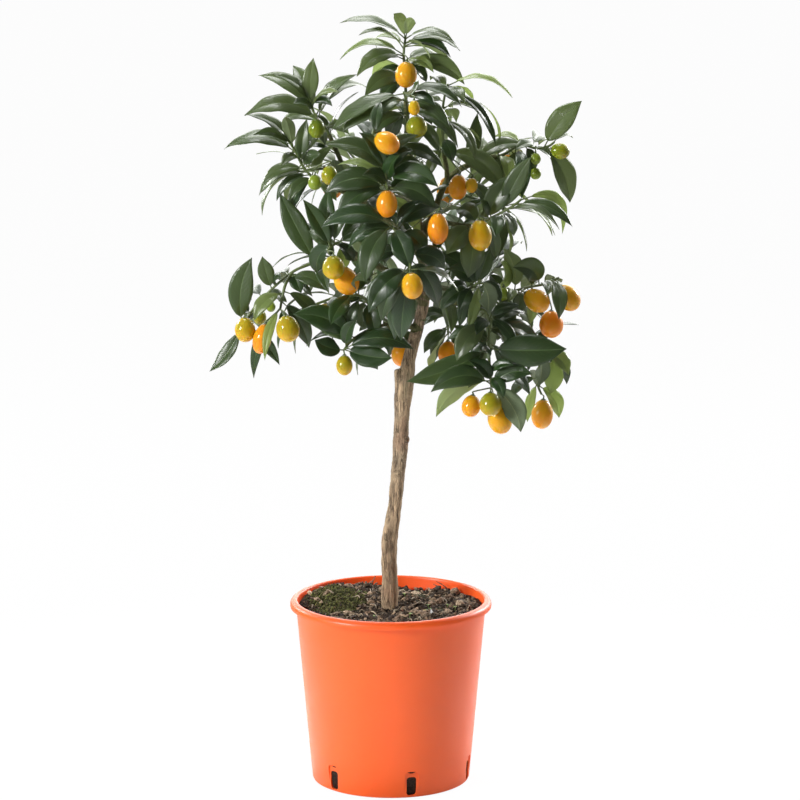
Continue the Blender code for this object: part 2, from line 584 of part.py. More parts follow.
def slot_cutter(name, width, high, reach, radius, cutters):
    """A block with its four long corners cut, centred at a radius in front of the pot."""
    bm = bmesh.new()
    bmesh.ops.create_cube(bm, size=1.0)
    bmesh.ops.scale(bm, vec=(width, reach, high - SLOT_LOW), verts=bm.verts)
    bmesh.ops.translate(bm, vec=(0.0, -radius, (SLOT_LOW + high) / 2.0), verts=bm.verts)
    long_edges = [e for e in bm.edges if abs(e.verts[0].co.y - e.verts[1].co.y) > reach / 2.0]
    bmesh.ops.bevel(bm, geom=long_edges, offset=SLOT_CORNER, segments=1, affect="EDGES")
    cutter = object_from(mesh_from_bmesh(bm, name), name, "pot", cutters)
    cutter.hide_render = True
    cutter.display_type = "WIRE"
    return cutter


def make_soil(parts):
    rng = random.Random(11)
    base = WALL + GAP
    rim = pot_inside(SOIL_LEVEL) - SOIL_SIDE_GAP
    profile = [(0.0, SOIL_LEVEL - HOLE_DEPTH), (HOLE_RADIUS, SOIL_LEVEL - HOLE_DEPTH)]
    profile += [(radius, SOIL_LEVEL) for radius in (HOLE_RADIUS, *SOIL_RINGS, rim)]
    profile += [(pot_inside(base) - SOIL_SIDE_GAP, base), (0.0, base)]
    soil = turned("soil", profile, "soil", parts)
    mesh = evaluated_mesh(soil)
    soil.modifiers.clear()
    soil.data = mesh
    for vertex in mesh.vertices:
        place = vertex.co
        radius = math.hypot(place.x, place.y)
        inside_rim = SOIL_RINGS[0] - TINY < radius < SOIL_RINGS[-1] + TINY
        if inside_rim and abs(place.z - SOIL_LEVEL) < TINY:
            away = math.hypot(place.x - MOUND_X, place.y - MOUND_Y)
            mound = MOUND_HEIGHT * math.exp(-away ** 2 / (2 * MOUND_SPREAD ** 2))
            place.z += rng.uniform(-SOIL_LUMP, SOIL_LUMP) + mound
        if radius < HOLE_RADIUS + TINY and place.z > base + TINY:
            place.x += HOLE_X
    mesh.materials.clear()
    mesh.materials.append(material("soil"))
    return soil


def wood(name, places, parts, resolution):
    points = [seen(x, z, y) for x, z, y, _ in places]
    radii = [radius * MM for *_, radius in places]
    return tube(name, points, radii, "trunk", parts, resolution)


def make_trunk(parts, loose):
    """Stem, pruned stub, knots and limbs, grown together."""
    stem = wood("trunk", STEM, parts, 3)
    pieces = [wood("stub", STUB, parts, 3)]
    for x, z, y, size in KNOTS:
        bm = bmesh.new()
        bmesh.ops.create_icosphere(bm, subdivisions=1, radius=size * MM)
        bmesh.ops.translate(bm, vec=seen(x, z, y), verts=bm.verts)
        pieces.append(object_from(mesh_from_bmesh(bm, "knot"), "knot", "trunk", parts))
    for name, places in LIMBS.items():
        pieces.append(wood("limb_" + name, places, parts, 1 if places[0][3] > THICK_LIMB else 0))
    fuse(stem, pieces, parts, loose)
    shade_round(stem, 50.0)
    return stem


def along_path(points, share):
    """The place at a share of a path's length, and the path's direction there."""
    runs = [(b - a).length for a, b in zip(points, points[1:])]
    left = min(LAST_ROOT, share) * sum(runs)
    for a, b, run in zip(points, points[1:], runs):
        if left <= run:
            break
        left -= run
    return a + (b - a) * (left / run), (b - a).normalized()


def twig_paths(spray, seats):
    """Each twig of a spray as a list of points; the first starts a gap off its seat."""
    seat, heading = seats[spray["seat"]]
    paths = []
    for index, (places, _) in enumerate(spray["twigs"]):
        points = [seen(*place) for place in places]
        if index == 0:
            points = [seat + heading * GAP, seat + heading * 4 * MM] + points
        paths.append(points)
    return paths


def blade_rows(base, tip, width, hints, shift=0.0):
    """Rows of left, crest and right points down a leaf, the two ends of its stalk first.

    The first hint is where the leaf's top side looks, the second where its rib arches to.
    A shift raises or lowers the whole blade and widens it by as much.
    """
    chord = tip - base
    length = chord.length
    ahead = chord / length
    facing, skyward = hints
    arch = (skyward - ahead * skyward.dot(ahead)) * BLADE_ARCH

    def across(share):
        """Where the rib is at a share of the leaf, and the two ways across it."""
        slope = (ahead + arch * (4 * (1 - 2 * share))).normalized()
        side = slope.cross(facing).normalized()
        return base + chord * share + arch * (length * 4 * share * (1 - share)), side, side.cross(slope)

    rows = []
    half = STALK_HALF + abs(shift)
    for share in (0.0, STALK_SHARE):
        rib, side, lift = across(share)
        low = rib - lift * half * 0.6
        rows.append((low - side * half, rib + lift * half, low + side * half))
    for share, half_share in SHORT_BLADE_ROWS if length < SHORT_LEAF else BLADE_ROWS:
        rib, side, lift = across(share)
        half = half_share * width + abs(shift)
        low = rib + lift * (shift - BLADE_THICK * 0.4)
        rows.append((low - side * half, low + lift * BLADE_THICK, low + side * half))
    return rows


def blade_faces(rows, tip, first=0):
    """Points and faces of a closed leaf, three sides to each stretch."""
    points = [point for row in rows[first:] for point in row] + [tip]
    faces = [(0, 2, 1)]
    for row in range(len(rows) - first - 1):
        a, b = 3 * row, 3 * row + 3
        if row + first == 0:
            faces += [(a + i, a + (i + 1) % 3, b + (i + 1) % 3, b + i) for i in range(3)]
        else:
            faces += [(a, a + 1, b + 1), (a, b + 1, b), (a + 1, a + 2, b + 1), (a + 2, b + 2, b + 1)]
            faces += [(a + 2, a, b), (a + 2, b, b + 2)]
    last, end = len(points) - 4, len(points) - 1
    faces += [(last + i, last + (i + 1) % 3, end) for i in range(3)]
    return points, faces


class Solid:
    """Something placed already that a leaf has to stay clear of."""

    def __init__(self, owner, points, faces):
        self.owner = owner
        self.low = [min(p[i] for p in points) - MM for i in range(3)]
        self.high = [max(p[i] for p in points) + MM for i in range(3)]
        self.tree = BVHTree.FromPolygons(points, faces)

    def meets(self, other):
        apart = any(self.low[i] > other.high[i] or other.low[i] > self.high[i] for i in range(3))
        return not apart and bool(self.tree.overlap(other.tree))


def solid_of(obj, owner):
    points = [obj.matrix_world @ vertex.co for vertex in obj.data.vertices]
    return Solid(owner, points, [tuple(face.vertices) for face in obj.data.polygons])


def seen_tips(base, leaf):
    """Tips to try for a leaf that shows in front: first in depth, then a little aside."""
    _, x, z, nearer, *_ = leaf
    depth = base.y / MM - nearer
    for aside, rise in ((0, 0), (7, 0), (-7, 0), (0, 7), (0, -7), (11, 9), (-11, 9), (11, -9), (-11, -9)):
        for step in (0, -9, 9, -18, 18, -28, 28, -40, 40, -54, 54):
            yield seen(x + aside, z + rise, depth + step)


def spiral_tips(base, heading, turn, lean, length):
    """Tips to try for a leaf in a spiral round its twig, drooping a little."""
    across = heading.cross(Vector((0.0, 0.0, 1.0))).normalized()
    over = across.cross(heading)
    for shorter in (1.0, 0.86, 0.74):
        for tilt in (0, 14, -14):
            for swing in (0, 12, -12, 24, -24, 38, -38, 54, -54):
                angle = math.radians(turn + swing)
                open_by = math.radians(lean + tilt)
                out = across * math.cos(angle) + over * math.sin(angle)
                way = heading * math.cos(open_by) + out * math.sin(open_by)
                drooping = way + Vector((0.0, 0.0, -DROOP))
                yield base + drooping.normalized() * (length * shorter)


def leaf_plans(spray, paths):
    """Every leaf of a spray: base, heading, tips to try, width or none, face or none, arch."""
    rng = random.Random(len(spray["twigs"][0][0]) + round(abs(paths[0][0].x) * 1e4))
    for (_, leaves), points in zip(spray["twigs"], paths):
        if isinstance(leaves, int):
            turn = rng.uniform(0, 360)
            for index in range(leaves):
                up = index / (leaves - 1)
                base, heading = along_path(points, between(SPIRAL_SHARES, up))
                turn += SPIRAL_TURN_DEG
                lean = between(SPIRAL_LEAN_DEG, up) + rng.uniform(-SPIRAL_STRAY_DEG, SPIRAL_STRAY_DEG)
                length = rng.uniform(*SPIRAL_LENGTHS)
                yield base, heading, list(spiral_tips(base, heading, turn, lean, length)), None, None, 1.0
        else:
            for leaf in leaves:
                base, heading = along_path(points, leaf[0])
                width = leaf[5] * MM if len(leaf) > 5 else None
                arch = leaf[6] if len(leaf) > 6 else 1.0
                yield base, heading, list(seen_tips(base, leaf)), width, leaf[4], arch


def leaf_hints(base, heading, face, arch):
    """Where a leaf's top side looks, turned to or off the front by its face, and where it arches."""
    skyward = (Vector((0.0, 0.0, 0.85)) + heading * 0.35).normalized()
    if face is None:
        return skyward, skyward
    to_eye = (EYE - base).normalized()
    return skyward * (1 - abs(face)) + to_eye * face, skyward * arch + to_eye * (0.3 * face)


def stands_clear(name, rows, tip, placed):
    """Whether a leaf clears everything placed; leaves of its own spray may meet at the stalk."""
    whole = Solid(name, *blade_faces(rows, tip))
    blade = Solid(name, *blade_faces(rows, tip, first=1))
    return not any((blade if other.owner == name else whole).meets(other) for other in placed)


def place_leaves(name, spray, paths, placed):
    """Choose for each leaf the first tip that is clear of everything placed."""
    leaves = []
    shortest, longest = BLADE_LENGTHS
    narrowest, widest = BLADE_WIDTHS
    for base, heading, tips, width, face, arch in leaf_plans(spray, paths):
        hints = leaf_hints(base, heading, face, arch)
        for tip in tips:
            length = (tip - base).length
            if not shortest < length < longest:
                continue
            wide = width or max(narrowest, min(widest, BLADE_ASPECT * length))
            if not all(stands_clear(name, blade_rows(base, tip, wide, hints, shift), tip, placed)
                       for shift in (0.0, CLEARANCE, -CLEARANCE)):
                continue
            rows = blade_rows(base, tip, wide, hints)
            placed.append(Solid(name, *blade_faces(rows, tip, first=1)))
            leaves.append((rows, tip))
            break
    return leaves


def leaf_object(rows, tip, parts):
    mesh = bpy.data.meshes.new("leaf")
    points, faces = blade_faces(rows, tip)
    mesh.from_pydata(points, [], faces)
    turn_outward(mesh)
    return object_from(mesh, "leaf", "leaf", parts)


def fruit_axis(lean):
    angle = math.radians(lean)
    return Vector((math.sin(angle), 0.0, math.cos(angle)))


def make_fruit(name, fruit, parts):
    """An egg-shaped berry, a little fuller below its middle."""
    x, z, y, width, length, lean, colour = fruit
    bm = bmesh.new()
    sides, rings = BUD_FACETS if colour == "bud" else FRUIT_FACETS
    bmesh.ops.create_uvsphere(bm, u_segments=sides, v_segments=rings, radius=0.5)
    for vertex in bm.verts:
        place = vertex.co
        fuller = 1.0 - EGG_TAPER * place.z - EGG_POINT * place.z * place.z
        place.x *= width * MM * fuller
        place.y *= width * MM * fuller
        place.z *= length * MM
    finish = "leaf" if colour == "bud" else colour
    obj = object_from(mesh_from_bmesh(bm, name), name, finish, parts)
    obj.location = seen(x, z, y)
    if colour == "bud":
        obj.location += fruit_axis(lean) * (CALYX_THICK * MM)
    obj.rotation_euler.y = math.radians(lean)
    bpy.context.view_layer.update()
    shade_round(obj, 60.0)
    return obj


def nearest_on(paths, place):
    """The nearest point of a spray's twigs to a place."""
    best = None
    for points in [paths[0][1:]] + paths[1:]:
        for a, b in zip(points, points[1:]):
            run = b - a
            share = max(0.0, min(LAST_ROOT, (place - a).dot(run) / run.length_squared))
            near = a + run * share
            if best is None or (near - place).length < (best - place).length:
                best = near
    return best


def fruit_stalk(fruit, paths, parts):
    """The calyx that a fruit hangs from and its stalk, one tapered tube back to the twig."""
    x, z, y, _, length, lean, _ = fruit
    axis = fruit_axis(lean)
    crown = seen(x, z, y) + axis * (length / 2 * MM + GAP)
    start = crown + axis * STALK_START * MM
    root = nearest_on(paths, start)
    points = [crown, crown + axis * CALYX_THICK * MM, root]
    radii = [CALYX_RADIUS * MM, STALK_RADIUS * MM, STALK_RADIUS * MM]
    if (root - points[1]).length > FRUIT_AWAY * MM:
        points.insert(2, start)
        radii.append(STALK_RADIUS * MM)
    return tube("stalk", points, radii, "leaf", parts, 0)


def twig_radii(points):
    last = len(points) - 1
    return [between(TWIG_RADIUS, index / last) * MM for index in range(len(points))]


def crown_layout():
    """The twig paths of every spray, each seated on the stem, a limb or another spray."""
    woods = {"stem": STEM, **LIMBS}
    seats = {}
    for name, places in woods.items():
        before, end = (seen(*place[:3]) for place in places[-2:])
        seats[name] = (end, (end - before).normalized())
    layout = {}
    for name, spray in SPRAYS.items():
        layout[name] = twig_paths(spray, seats)
        before, end = layout[name][0][-2:]
        seats[name] = (end, (end - before).normalized())
    return layout


def make_crown(parts, loose, trunk):
    """Twigs, stalks and fruits first, then the leaves, each clear of what stands already."""
    layout = crown_layout()
    placed = [solid_of(trunk, "trunk")]
    grown = {}
    number = 0
    for name, spray in SPRAYS.items():
        paths = layout[name]
        pieces = [tube(name, points, twig_radii(points), "leaf", parts, 0) for points in paths]
        for fruit in spray["fruits"]:
            pieces.append(fruit_stalk(fruit, paths, parts))
            if fruit[6] == "bud":
                pieces.append(make_fruit("bud", fruit, parts))
                continue
            number += 1
            berry = make_fruit(f"kumquat_{number:02d}_{fruit[6]}", fruit, parts)
            placed.append(solid_of(berry, berry.name))
        placed += [solid_of(piece, name + " wood") for piece in pieces]
        grown[name] = pieces
    for name, pieces in grown.items():
        around = [solid for solid in placed if solid.owner != name + " wood"]
        standing = len(around)
        leaves = place_leaves(name, SPRAYS[name], layout[name], around)
        placed += around[standing:]
        pieces += [leaf_object(rows, tip, parts) for rows, tip in leaves]
        fuse(pieces[0], pieces[1:], parts, loose)
        pieces[0].name = name
        shade_round(pieces[0], 35.0)


def build():
    clear_scene()
    parts = new_collection("potted_kumquat_tree")
    cutters = new_collection("cutters")
    loose = new_collection("to_be_grown_together")
    make_pot(parts, cutters)
    make_soil(parts)
    trunk = make_trunk(parts, loose)
    make_crown(parts, loose, trunk)


build()
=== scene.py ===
"""The looks of a potted kumquat tree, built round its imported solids.

Metres, +Z up, the origin under the middle of the pot, front towards -Y.
"""

import math
import random

import bmesh
import bpy
from mathutils import Matrix, Vector, noise
from mathutils.bvhtree import BVHTree
from mathutils.kdtree import KDTree


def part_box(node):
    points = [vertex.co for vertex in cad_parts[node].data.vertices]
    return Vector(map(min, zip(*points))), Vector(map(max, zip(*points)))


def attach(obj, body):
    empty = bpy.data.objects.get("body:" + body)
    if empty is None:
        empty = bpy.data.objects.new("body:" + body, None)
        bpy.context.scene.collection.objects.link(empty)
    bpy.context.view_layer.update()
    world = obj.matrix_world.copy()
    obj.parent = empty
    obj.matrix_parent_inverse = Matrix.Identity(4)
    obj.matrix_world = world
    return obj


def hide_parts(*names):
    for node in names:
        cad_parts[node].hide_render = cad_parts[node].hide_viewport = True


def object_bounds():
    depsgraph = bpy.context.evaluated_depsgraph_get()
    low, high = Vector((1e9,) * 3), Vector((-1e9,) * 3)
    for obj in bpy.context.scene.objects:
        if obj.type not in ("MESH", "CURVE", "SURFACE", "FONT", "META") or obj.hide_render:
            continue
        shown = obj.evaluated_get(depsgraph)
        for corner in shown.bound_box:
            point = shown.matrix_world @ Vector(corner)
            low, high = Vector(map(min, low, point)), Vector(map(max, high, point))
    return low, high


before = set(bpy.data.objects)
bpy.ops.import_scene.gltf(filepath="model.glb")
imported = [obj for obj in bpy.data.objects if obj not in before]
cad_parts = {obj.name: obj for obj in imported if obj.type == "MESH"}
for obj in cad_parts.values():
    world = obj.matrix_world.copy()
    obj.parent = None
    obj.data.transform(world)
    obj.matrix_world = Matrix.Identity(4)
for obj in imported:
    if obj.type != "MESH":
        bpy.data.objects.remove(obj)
CAD_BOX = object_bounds()


# Pot: a flared grower's pot moulded in one shot of thin orange-red plastic, its mouth curled
# over into a lip. Six drain slots are cut low in the wall, each in a shallow pressed field.

POT_RADIUS, _, POT_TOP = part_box("pot")[1]
BASE_RADIUS = 0.0862
FOOT_CHAMFER = 0.0026
# The rounding between the chamfer and the wall: share of the chamfer inwards, and upwards
FOOT_ROUNDING = (0.35, 0.3)
WALL = 0.0020
MOUTH_RADIUS = 0.1018
LIP_DEPTH = 0.0080
WALL_TOP = POT_TOP - LIP_DEPTH * 0.6
# Heights of the wall's rings inside and outside, and of its first one inside and outside
WALL_RINGS = (0.060, 0.110, 0.150, 0.188)
FIRST_RING_INSIDE = 0.012
FIRST_RING_OUTSIDE = 0.030
# The lip from the mouth over the top to its hem: share of the way out, share of its depth
LIP_CURVE = (
    (0.000, 0.62), (0.010, 0.38), (0.035, 0.16), (0.105, 0.045), (0.220, 0.000), (0.400, 0.010),
    (0.560, 0.050), (0.720, 0.130), (0.860, 0.260), (0.955, 0.430), (1.000, 0.620), (0.998, 0.860),
    (0.975, 1.000), (0.800, 1.000), (0.775, 0.860), (0.765, 0.520), (0.640, 0.390), (0.430, 0.330),
    (0.290, 0.480), (0.250, 0.700),
)
POT_TURNS = 180
POT_MERGE = 0.00003
POT_SHARP_DEG = 38.0
SLOT_COUNT = 6
SLOT_FIRST_DEG = 15.0
SLOT_SIZE = (0.0108, 0.0205)
SLOT_FIELD_SIZE = (0.0150, 0.0270)
SLOT_FOOT = 0.0030
SLOT_ROUNDING = 0.3
FIELD_DEPTH = 0.0010
# How deep the blocks are that cut the slots and the fields round them
SLOT_BLOCK = 0.020
FIELD_BLOCK = 0.010


class Paint:
    """A socket in a material's nodes, on which sums, products and blends add their nodes."""

    def __init__(self, tree, socket=None):
        self.tree = tree
        self.socket = socket

    def node(self, kind, settings, sockets, output=0):
        made = self.tree.nodes.new(kind)
        for name, value in settings.items():
            if name == "stops":
                ramp = made.color_ramp
                while len(ramp.elements) < len(value):
                    ramp.elements.new(0.5)
                for element, (position, colour) in zip(ramp.elements, value):
                    element.position = position
                    element.color = (*colour, 1.0)
            else:
                setattr(made, name, value)
        for name, value in sockets.items():
            if isinstance(value, Paint):
                self.tree.links.new(value.socket, made.inputs[name])
            else:
                made.inputs[name].default_value = value
        return Paint(self.tree, made.outputs[output])

    def math(self, operation, *values):
        return self.node("ShaderNodeMath", {"operation": operation}, dict(enumerate(values)))

    def __add__(self, other):
        return self.math("ADD", self, other)

    __radd__ = __add__

    def __sub__(self, other):
        return self.math("SUBTRACT", self, other)

    def __rsub__(self, other):
        return self.math("SUBTRACT", other, self)

    def __mul__(self, other):
        return self.math("MULTIPLY", self, other)

    __rmul__ = __mul__

    def __abs__(self):
        return self.math("ABSOLUTE", self)

    def between(self, low, high):
        """0 below low, 1 above high, smooth between them."""
        limits = {"Value": self, "From Min": low, "From Max": high}
        return self.node("ShaderNodeMapRange", {"interpolation_type": "SMOOTHSTEP"}, limits)

    def blend(self, first, second):
        """The first colour where this is 0, the second where it is 1."""
        first, second = (c if isinstance(c, Paint) else (*c, 1.0) for c in (first, second))
        return self.node("ShaderNodeMix", {"data_type": "RGBA"}, {0: self, 6: first, 7: second}, 2)

    def place(self):
        """Where each point of the object is, in metres."""
        return self.node("ShaderNodeTexCoord", {}, {}, output=3)

    def height(self):
        return self.node("ShaderNodeSeparateXYZ", {}, {"Vector": self.place()}, output=2)

    def spread(self, kind, scale, stretch=None, **sockets):
        """A texture laid over the object in metres, stretched along its axes."""
        place = self.place()
        if stretch:
            settings = {"operation": "MULTIPLY"}
            place = self.node("ShaderNodeVectorMath", settings, {0: place, 1: stretch})
        return self.node(kind, {}, {"Vector": place, "Scale": scale, **sockets})

    def noise(self, scale, detail=3.0, roughness=0.5, stretch=None):
        return self.spread("ShaderNodeTexNoise", scale, stretch, Detail=detail, Roughness=roughness)

    def cells(self, scale):
        return self.spread("ShaderNodeTexVoronoi", scale)

    def painted(self, name):
        """The value that the mesh holds under this name."""
        return self.node("ShaderNodeAttribute", {"attribute_name": name}, {}, output=2)


def finish(name, **uniform):
    """A new material's paint and its Principled shader, with its even values set."""
    made = bpy.data.materials.new(name)
    made.use_nodes = True
    shader = made.node_tree.nodes["Principled BSDF"]
    for socket, value in uniform.items():
        shader.inputs[socket.replace("_", " ")].default_value = value
    return made, Paint(made.node_tree), shader


def coat(paint, shader, **varied):
    """Lead paints to the shader's sockets, the height through a bump of that many metres."""
    height, rise = varied.pop("height", None), varied.pop("rise", 0.0)
    for socket, value in varied.items():
        paint.tree.links.new(value.socket, shader.inputs[socket.replace("_", " ")])
    if height:
        sockets = {"Strength": 1.0, "Distance": rise, "Height": height}
        bump = paint.node("ShaderNodeBump", {}, sockets)
        paint.tree.links.new(bump.socket, shader.inputs["Normal"])


def mix_in(paint, shader, share, kind, **sockets):
    """Give a share of the surface to another shader, such as the light through a thin leaf."""
    plain = Paint(paint.tree, shader.outputs[0])
    other = paint.node(kind, {}, sockets)
    mixed = paint.node("ShaderNodeMixShader", {}, {0: share, 1: plain, 2: other})
    paint.tree.links.new(mixed.socket, paint.tree.nodes["Material Output"].inputs["Surface"])


def piece(name, mesh, material, slot, *stands_for):
    """An object that rides on the plant, held inside the box of its solids."""
    low, high = CAD_BOX
    for vertex in mesh.vertices:
        vertex.co = [max(low[axis], min(high[axis], vertex.co[axis])) for axis in range(3)]
    obj = bpy.data.objects.new(name, mesh)
    bpy.context.scene.collection.objects.link(obj)
    mesh.materials.clear()
    mesh.materials.append(material)
    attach(obj, "root")
    if stands_for:
        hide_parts(*stands_for)
    return obj


def applied(obj):
    """The object's mesh with its modifiers applied."""
    bpy.context.view_layer.update()
    graph = bpy.context.evaluated_depsgraph_get()
    return bpy.data.meshes.new_from_object(obj.evaluated_get(graph))


def loose_object(mesh):
    """An object that is only worked on, and rides on nothing."""
    obj = bpy.data.objects.new("loose", mesh)
    bpy.context.scene.collection.objects.link(obj)
    return obj


def wall_radius(height):
    """The pot's outer radius at a height, where its wall runs straight from foot to lip."""
    return BASE_RADIUS + (MOUTH_RADIUS + WALL - BASE_RADIUS) * height / WALL_TOP


def slot_block(size, depth, radius, turn_deg):
    """A block with round corners that stands upright in the wall, turned round the pot."""
    width, height = size
    bm = bmesh.new()
    bmesh.ops.create_cube(bm, size=1.0)
    bmesh.ops.scale(bm, vec=(width, depth, height), verts=bm.verts)
    bmesh.ops.translate(bm, vec=(0.0, -radius, SLOT_FOOT + height / 2.0), verts=bm.verts)
    deep_edges = [e for e in bm.edges if abs(e.verts[0].co.y - e.verts[1].co.y) > depth / 2.0]
    bmesh.ops.bevel(bm, geom=deep_edges, offset=width * SLOT_ROUNDING, segments=4, profile=0.5,
                    affect="EDGES")
    bmesh.ops.rotate(bm, verts=bm.verts, matrix=Matrix.Rotation(math.radians(turn_deg), 3, "Z"))
    mesh = bpy.data.meshes.new("slot")
    bm.to_mesh(mesh)
    bm.free()
    return loose_object(mesh)


lip_width = POT_RADIUS - MOUTH_RADIUS
rounding_in, rounding_up = (FOOT_CHAMFER * share for share in FOOT_ROUNDING)
profile = [(0.0, WALL), (BASE_RADIUS - FOOT_CHAMFER, WALL)]
profile += [(wall_radius(z) - WALL, z) for z in (FIRST_RING_INSIDE, *WALL_RINGS)]
profile += [(MOUTH_RADIUS + lip_width * out, POT_TOP - LIP_DEPTH * down) for out, down in LIP_CURVE]
profile += [(wall_radius(z), z) for z in (*reversed(WALL_RINGS), FIRST_RING_OUTSIDE)]
profile += [(BASE_RADIUS, FOOT_CHAMFER), (BASE_RADIUS - rounding_in, rounding_up)]
profile += [(BASE_RADIUS - FOOT_CHAMFER, 0.0), (0.0, 0.0)]
pot_mesh = bpy.data.meshes.new("pot_profile")
runs = [(corner, corner + 1) for corner in range(len(profile) - 1)]
pot_mesh.from_pydata([(radius, 0.0, z) for radius, z in profile], runs, [])
pot_blank = loose_object(pot_mesh)
turn = pot_blank.modifiers.new("turn", "SCREW")
turn.steps = turn.render_steps = POT_TURNS
turn.use_merge_vertices = True
turn.merge_threshold = POT_MERGE
slot_blocks = []
field_radius = wall_radius(SLOT_FOOT + SLOT_FIELD_SIZE[1] / 2.0) - FIELD_DEPTH + FIELD_BLOCK / 2.0
for index in range(SLOT_COUNT):
    turn_deg = SLOT_FIRST_DEG + 360.0 * index / SLOT_COUNT
    slot_blocks.append(slot_block(SLOT_FIELD_SIZE, FIELD_BLOCK, field_radius, turn_deg))
    slot_blocks.append(slot_block(SLOT_SIZE, SLOT_BLOCK, BASE_RADIUS, turn_deg))
for block in slot_blocks:
    cut = pot_blank.modifiers.new("cut", "BOOLEAN")
    cut.operation = "DIFFERENCE"
    cut.object = block
    cut.solver = "EXACT"
pot_mesh = applied(pot_blank)
for blank in [pot_blank] + slot_blocks:
    bpy.data.objects.remove(blank, do_unlink=True)
pot_mesh.shade_smooth()
pot_mesh.set_sharp_from_angle(angle=math.radians(POT_SHARP_DEG))

pot_plastic, paint, shader = finish("pot_plastic", Specular_IOR_Level=0.38, Subsurface_Weight=0.08,
                                    Subsurface_Radius=(0.010, 0.003, 0.001), Subsurface_Scale=0.6,
                                    Coat_Weight=0.12, Coat_Roughness=0.25)
cloudy = paint.noise(14.0, 4.0)
drawn = paint.noise(30.0, 3.0, 0.6, (1.0, 1.0, 0.12))
dusty = paint.noise(60.0, 5.0, 0.65).between(0.52, 0.80)
foot_dust = (1.0 - paint.height().between(0.000, 0.030)) * dusty
scuff = paint.noise(240.0, 4.0, 0.7, (1.0, 1.0, 0.5)).between(0.66, 0.74)
orange_red = (cloudy * 0.7 + drawn * 0.3).blend((0.82, 0.106, 0.012), (0.89, 0.134, 0.020))
orange_red = (scuff * 0.35).blend(orange_red, (0.62, 0.075, 0.020))
coat(paint, shader,
     Base_Color=(foot_dust * 0.45).blend(orange_red, (0.36, 0.10, 0.05)),
     Roughness=0.38 + cloudy * 0.10 + foot_dust * 0.25,
     height=paint.noise(900.0, 2.0) * 0.5 + drawn * 0.5, rise=0.00010)
mix_in(paint, shader, 0.20, "ShaderNodeBsdfTranslucent", Color=(0.95, 0.14, 0.030, 1.0))
piece("moulded_pot", pot_mesh, pot_plastic, "pot_plastic", "pot")


# Soil: damp dark compost of peat and bark, cloddy on top and a little lower round the stem, with
# a low mossy mound at the back left. It fills the pot, so it also shows in the drain slots.

SOIL_LEVEL = 0.1910
SOIL_GAP = 0.0005
SOIL_RINGS = 130
SOIL_TURNS = 360
# Heights of the rings down its side, where the wall holds it, to the pot's floor
SOIL_SIDE_RINGS = (0.150, 0.080, 0.030, WALL + SOIL_GAP)
SOIL_BELOW_LIP = 0.0022
SOIL_RADIUS = wall_radius(SOIL_LEVEL) - WALL - SOIL_GAP
# How far in from the wall the clods are pressed flatter, and how flat they are at it
SOIL_EASED_EDGE = 0.008
SOIL_EASED_TO = 0.25
# How far the middle is sunk, and how far the soil rises again to the radius of the pot
DISH_SUNK = 0.0030
DISH_RISE = 0.0034
# Waves of the surface: how many to a metre, and how high
SWELLS, SWELL_HEIGHT = 26.0, 0.0026
CLODS, CLOD_HEIGHT = 82.0, 0.0068
CRUMBLED, CRUMBLED_HEIGHT = 205.0, 0.0034
GRAINS, GRAIN_HEIGHT = 560.0, 0.0009
MOUND = Vector((-0.062, 0.045, 0.0))
MOUND_SPREAD = 0.030
MOUND_HEIGHT = 0.0075
HOLLOW = Vector((0.027, 0.090, 0.0))
HOLLOW_SPREAD = 0.016
HOLLOW_DEPTH = 0.0065
# Painted shade: the soil darkens below a height, over a depth, in the gaps among the clods and down
# its side, where it shows in the drain slots
PAINTED_SHADE_BELOW = SOIL_LEVEL + 0.001
PAINTED_SHADE_DEPTH = 0.004
MOSS_DOWN_TO = SOIL_LEVEL - 0.02
# The mossy patch, an uneven oval: its middle, and half its length along x and y
MOSS_MIDDLE = (-0.060, 0.014)
MOSS_REACH = (0.033, 0.056)


def share_of(value):
    """The value, held between 0 and 1."""
    return max(0.0, min(1.0, value))


def hill(place, middle, spread):
    """How high a round hill is at a place, as a share of its top."""
    return math.exp(-(place - middle).length ** 2 / (2 * spread ** 2))


def soil_height(x, y):
    """The lie of the soil at a place: broad swells, clods and crumbs, the mound and the hollow."""
    place = Vector((x, y, 0.0))
    dished = (place.length / POT_RADIUS) ** 2 * DISH_RISE - DISH_SUNK
    swell = noise.noise(place * SWELLS) * SWELL_HEIGHT
    clods = abs(noise.noise(place * CLODS + Vector((3.1, 0.0, 0.0)))) * CLOD_HEIGHT
    crumbs = abs(noise.noise(place * CRUMBLED)) * CRUMBLED_HEIGHT
    crumbs += noise.noise(place * GRAINS) * GRAIN_HEIGHT
    mound = MOUND_HEIGHT * hill(place, MOUND, MOUND_SPREAD)
    hollow = HOLLOW_DEPTH * hill(place, HOLLOW, HOLLOW_SPREAD)
    inside = share_of((SOIL_RADIUS - place.length) / SOIL_EASED_EDGE)
    rough = (clods + crumbs) * (SOIL_EASED_TO + (1.0 - SOIL_EASED_TO) * inside)
    return min(SOIL_LEVEL + dished + swell + rough + mound - hollow, POT_TOP - SOIL_BELOW_LIP)


def mossy(x, y):
    """How mossy the soil is at a place, from 0 to 1: the patch, and flecks of it elsewhere."""
    place = Vector((x, y, 0.0))
    off_x, off_y = x - MOSS_MIDDLE[0], y - MOSS_MIDDLE[1]
    away = math.hypot(off_x / MOSS_REACH[0], off_y / MOSS_REACH[1])
    patch = (1.0 - away + noise.noise(place * 75.0) * 0.42) / 0.25
    fleck = (noise.noise(place * 48.0 + Vector((0.0, 0.0, 7.0))) - 0.30) / 0.16
    return max(0.0, min(1.0, patch), min(0.8, fleck))


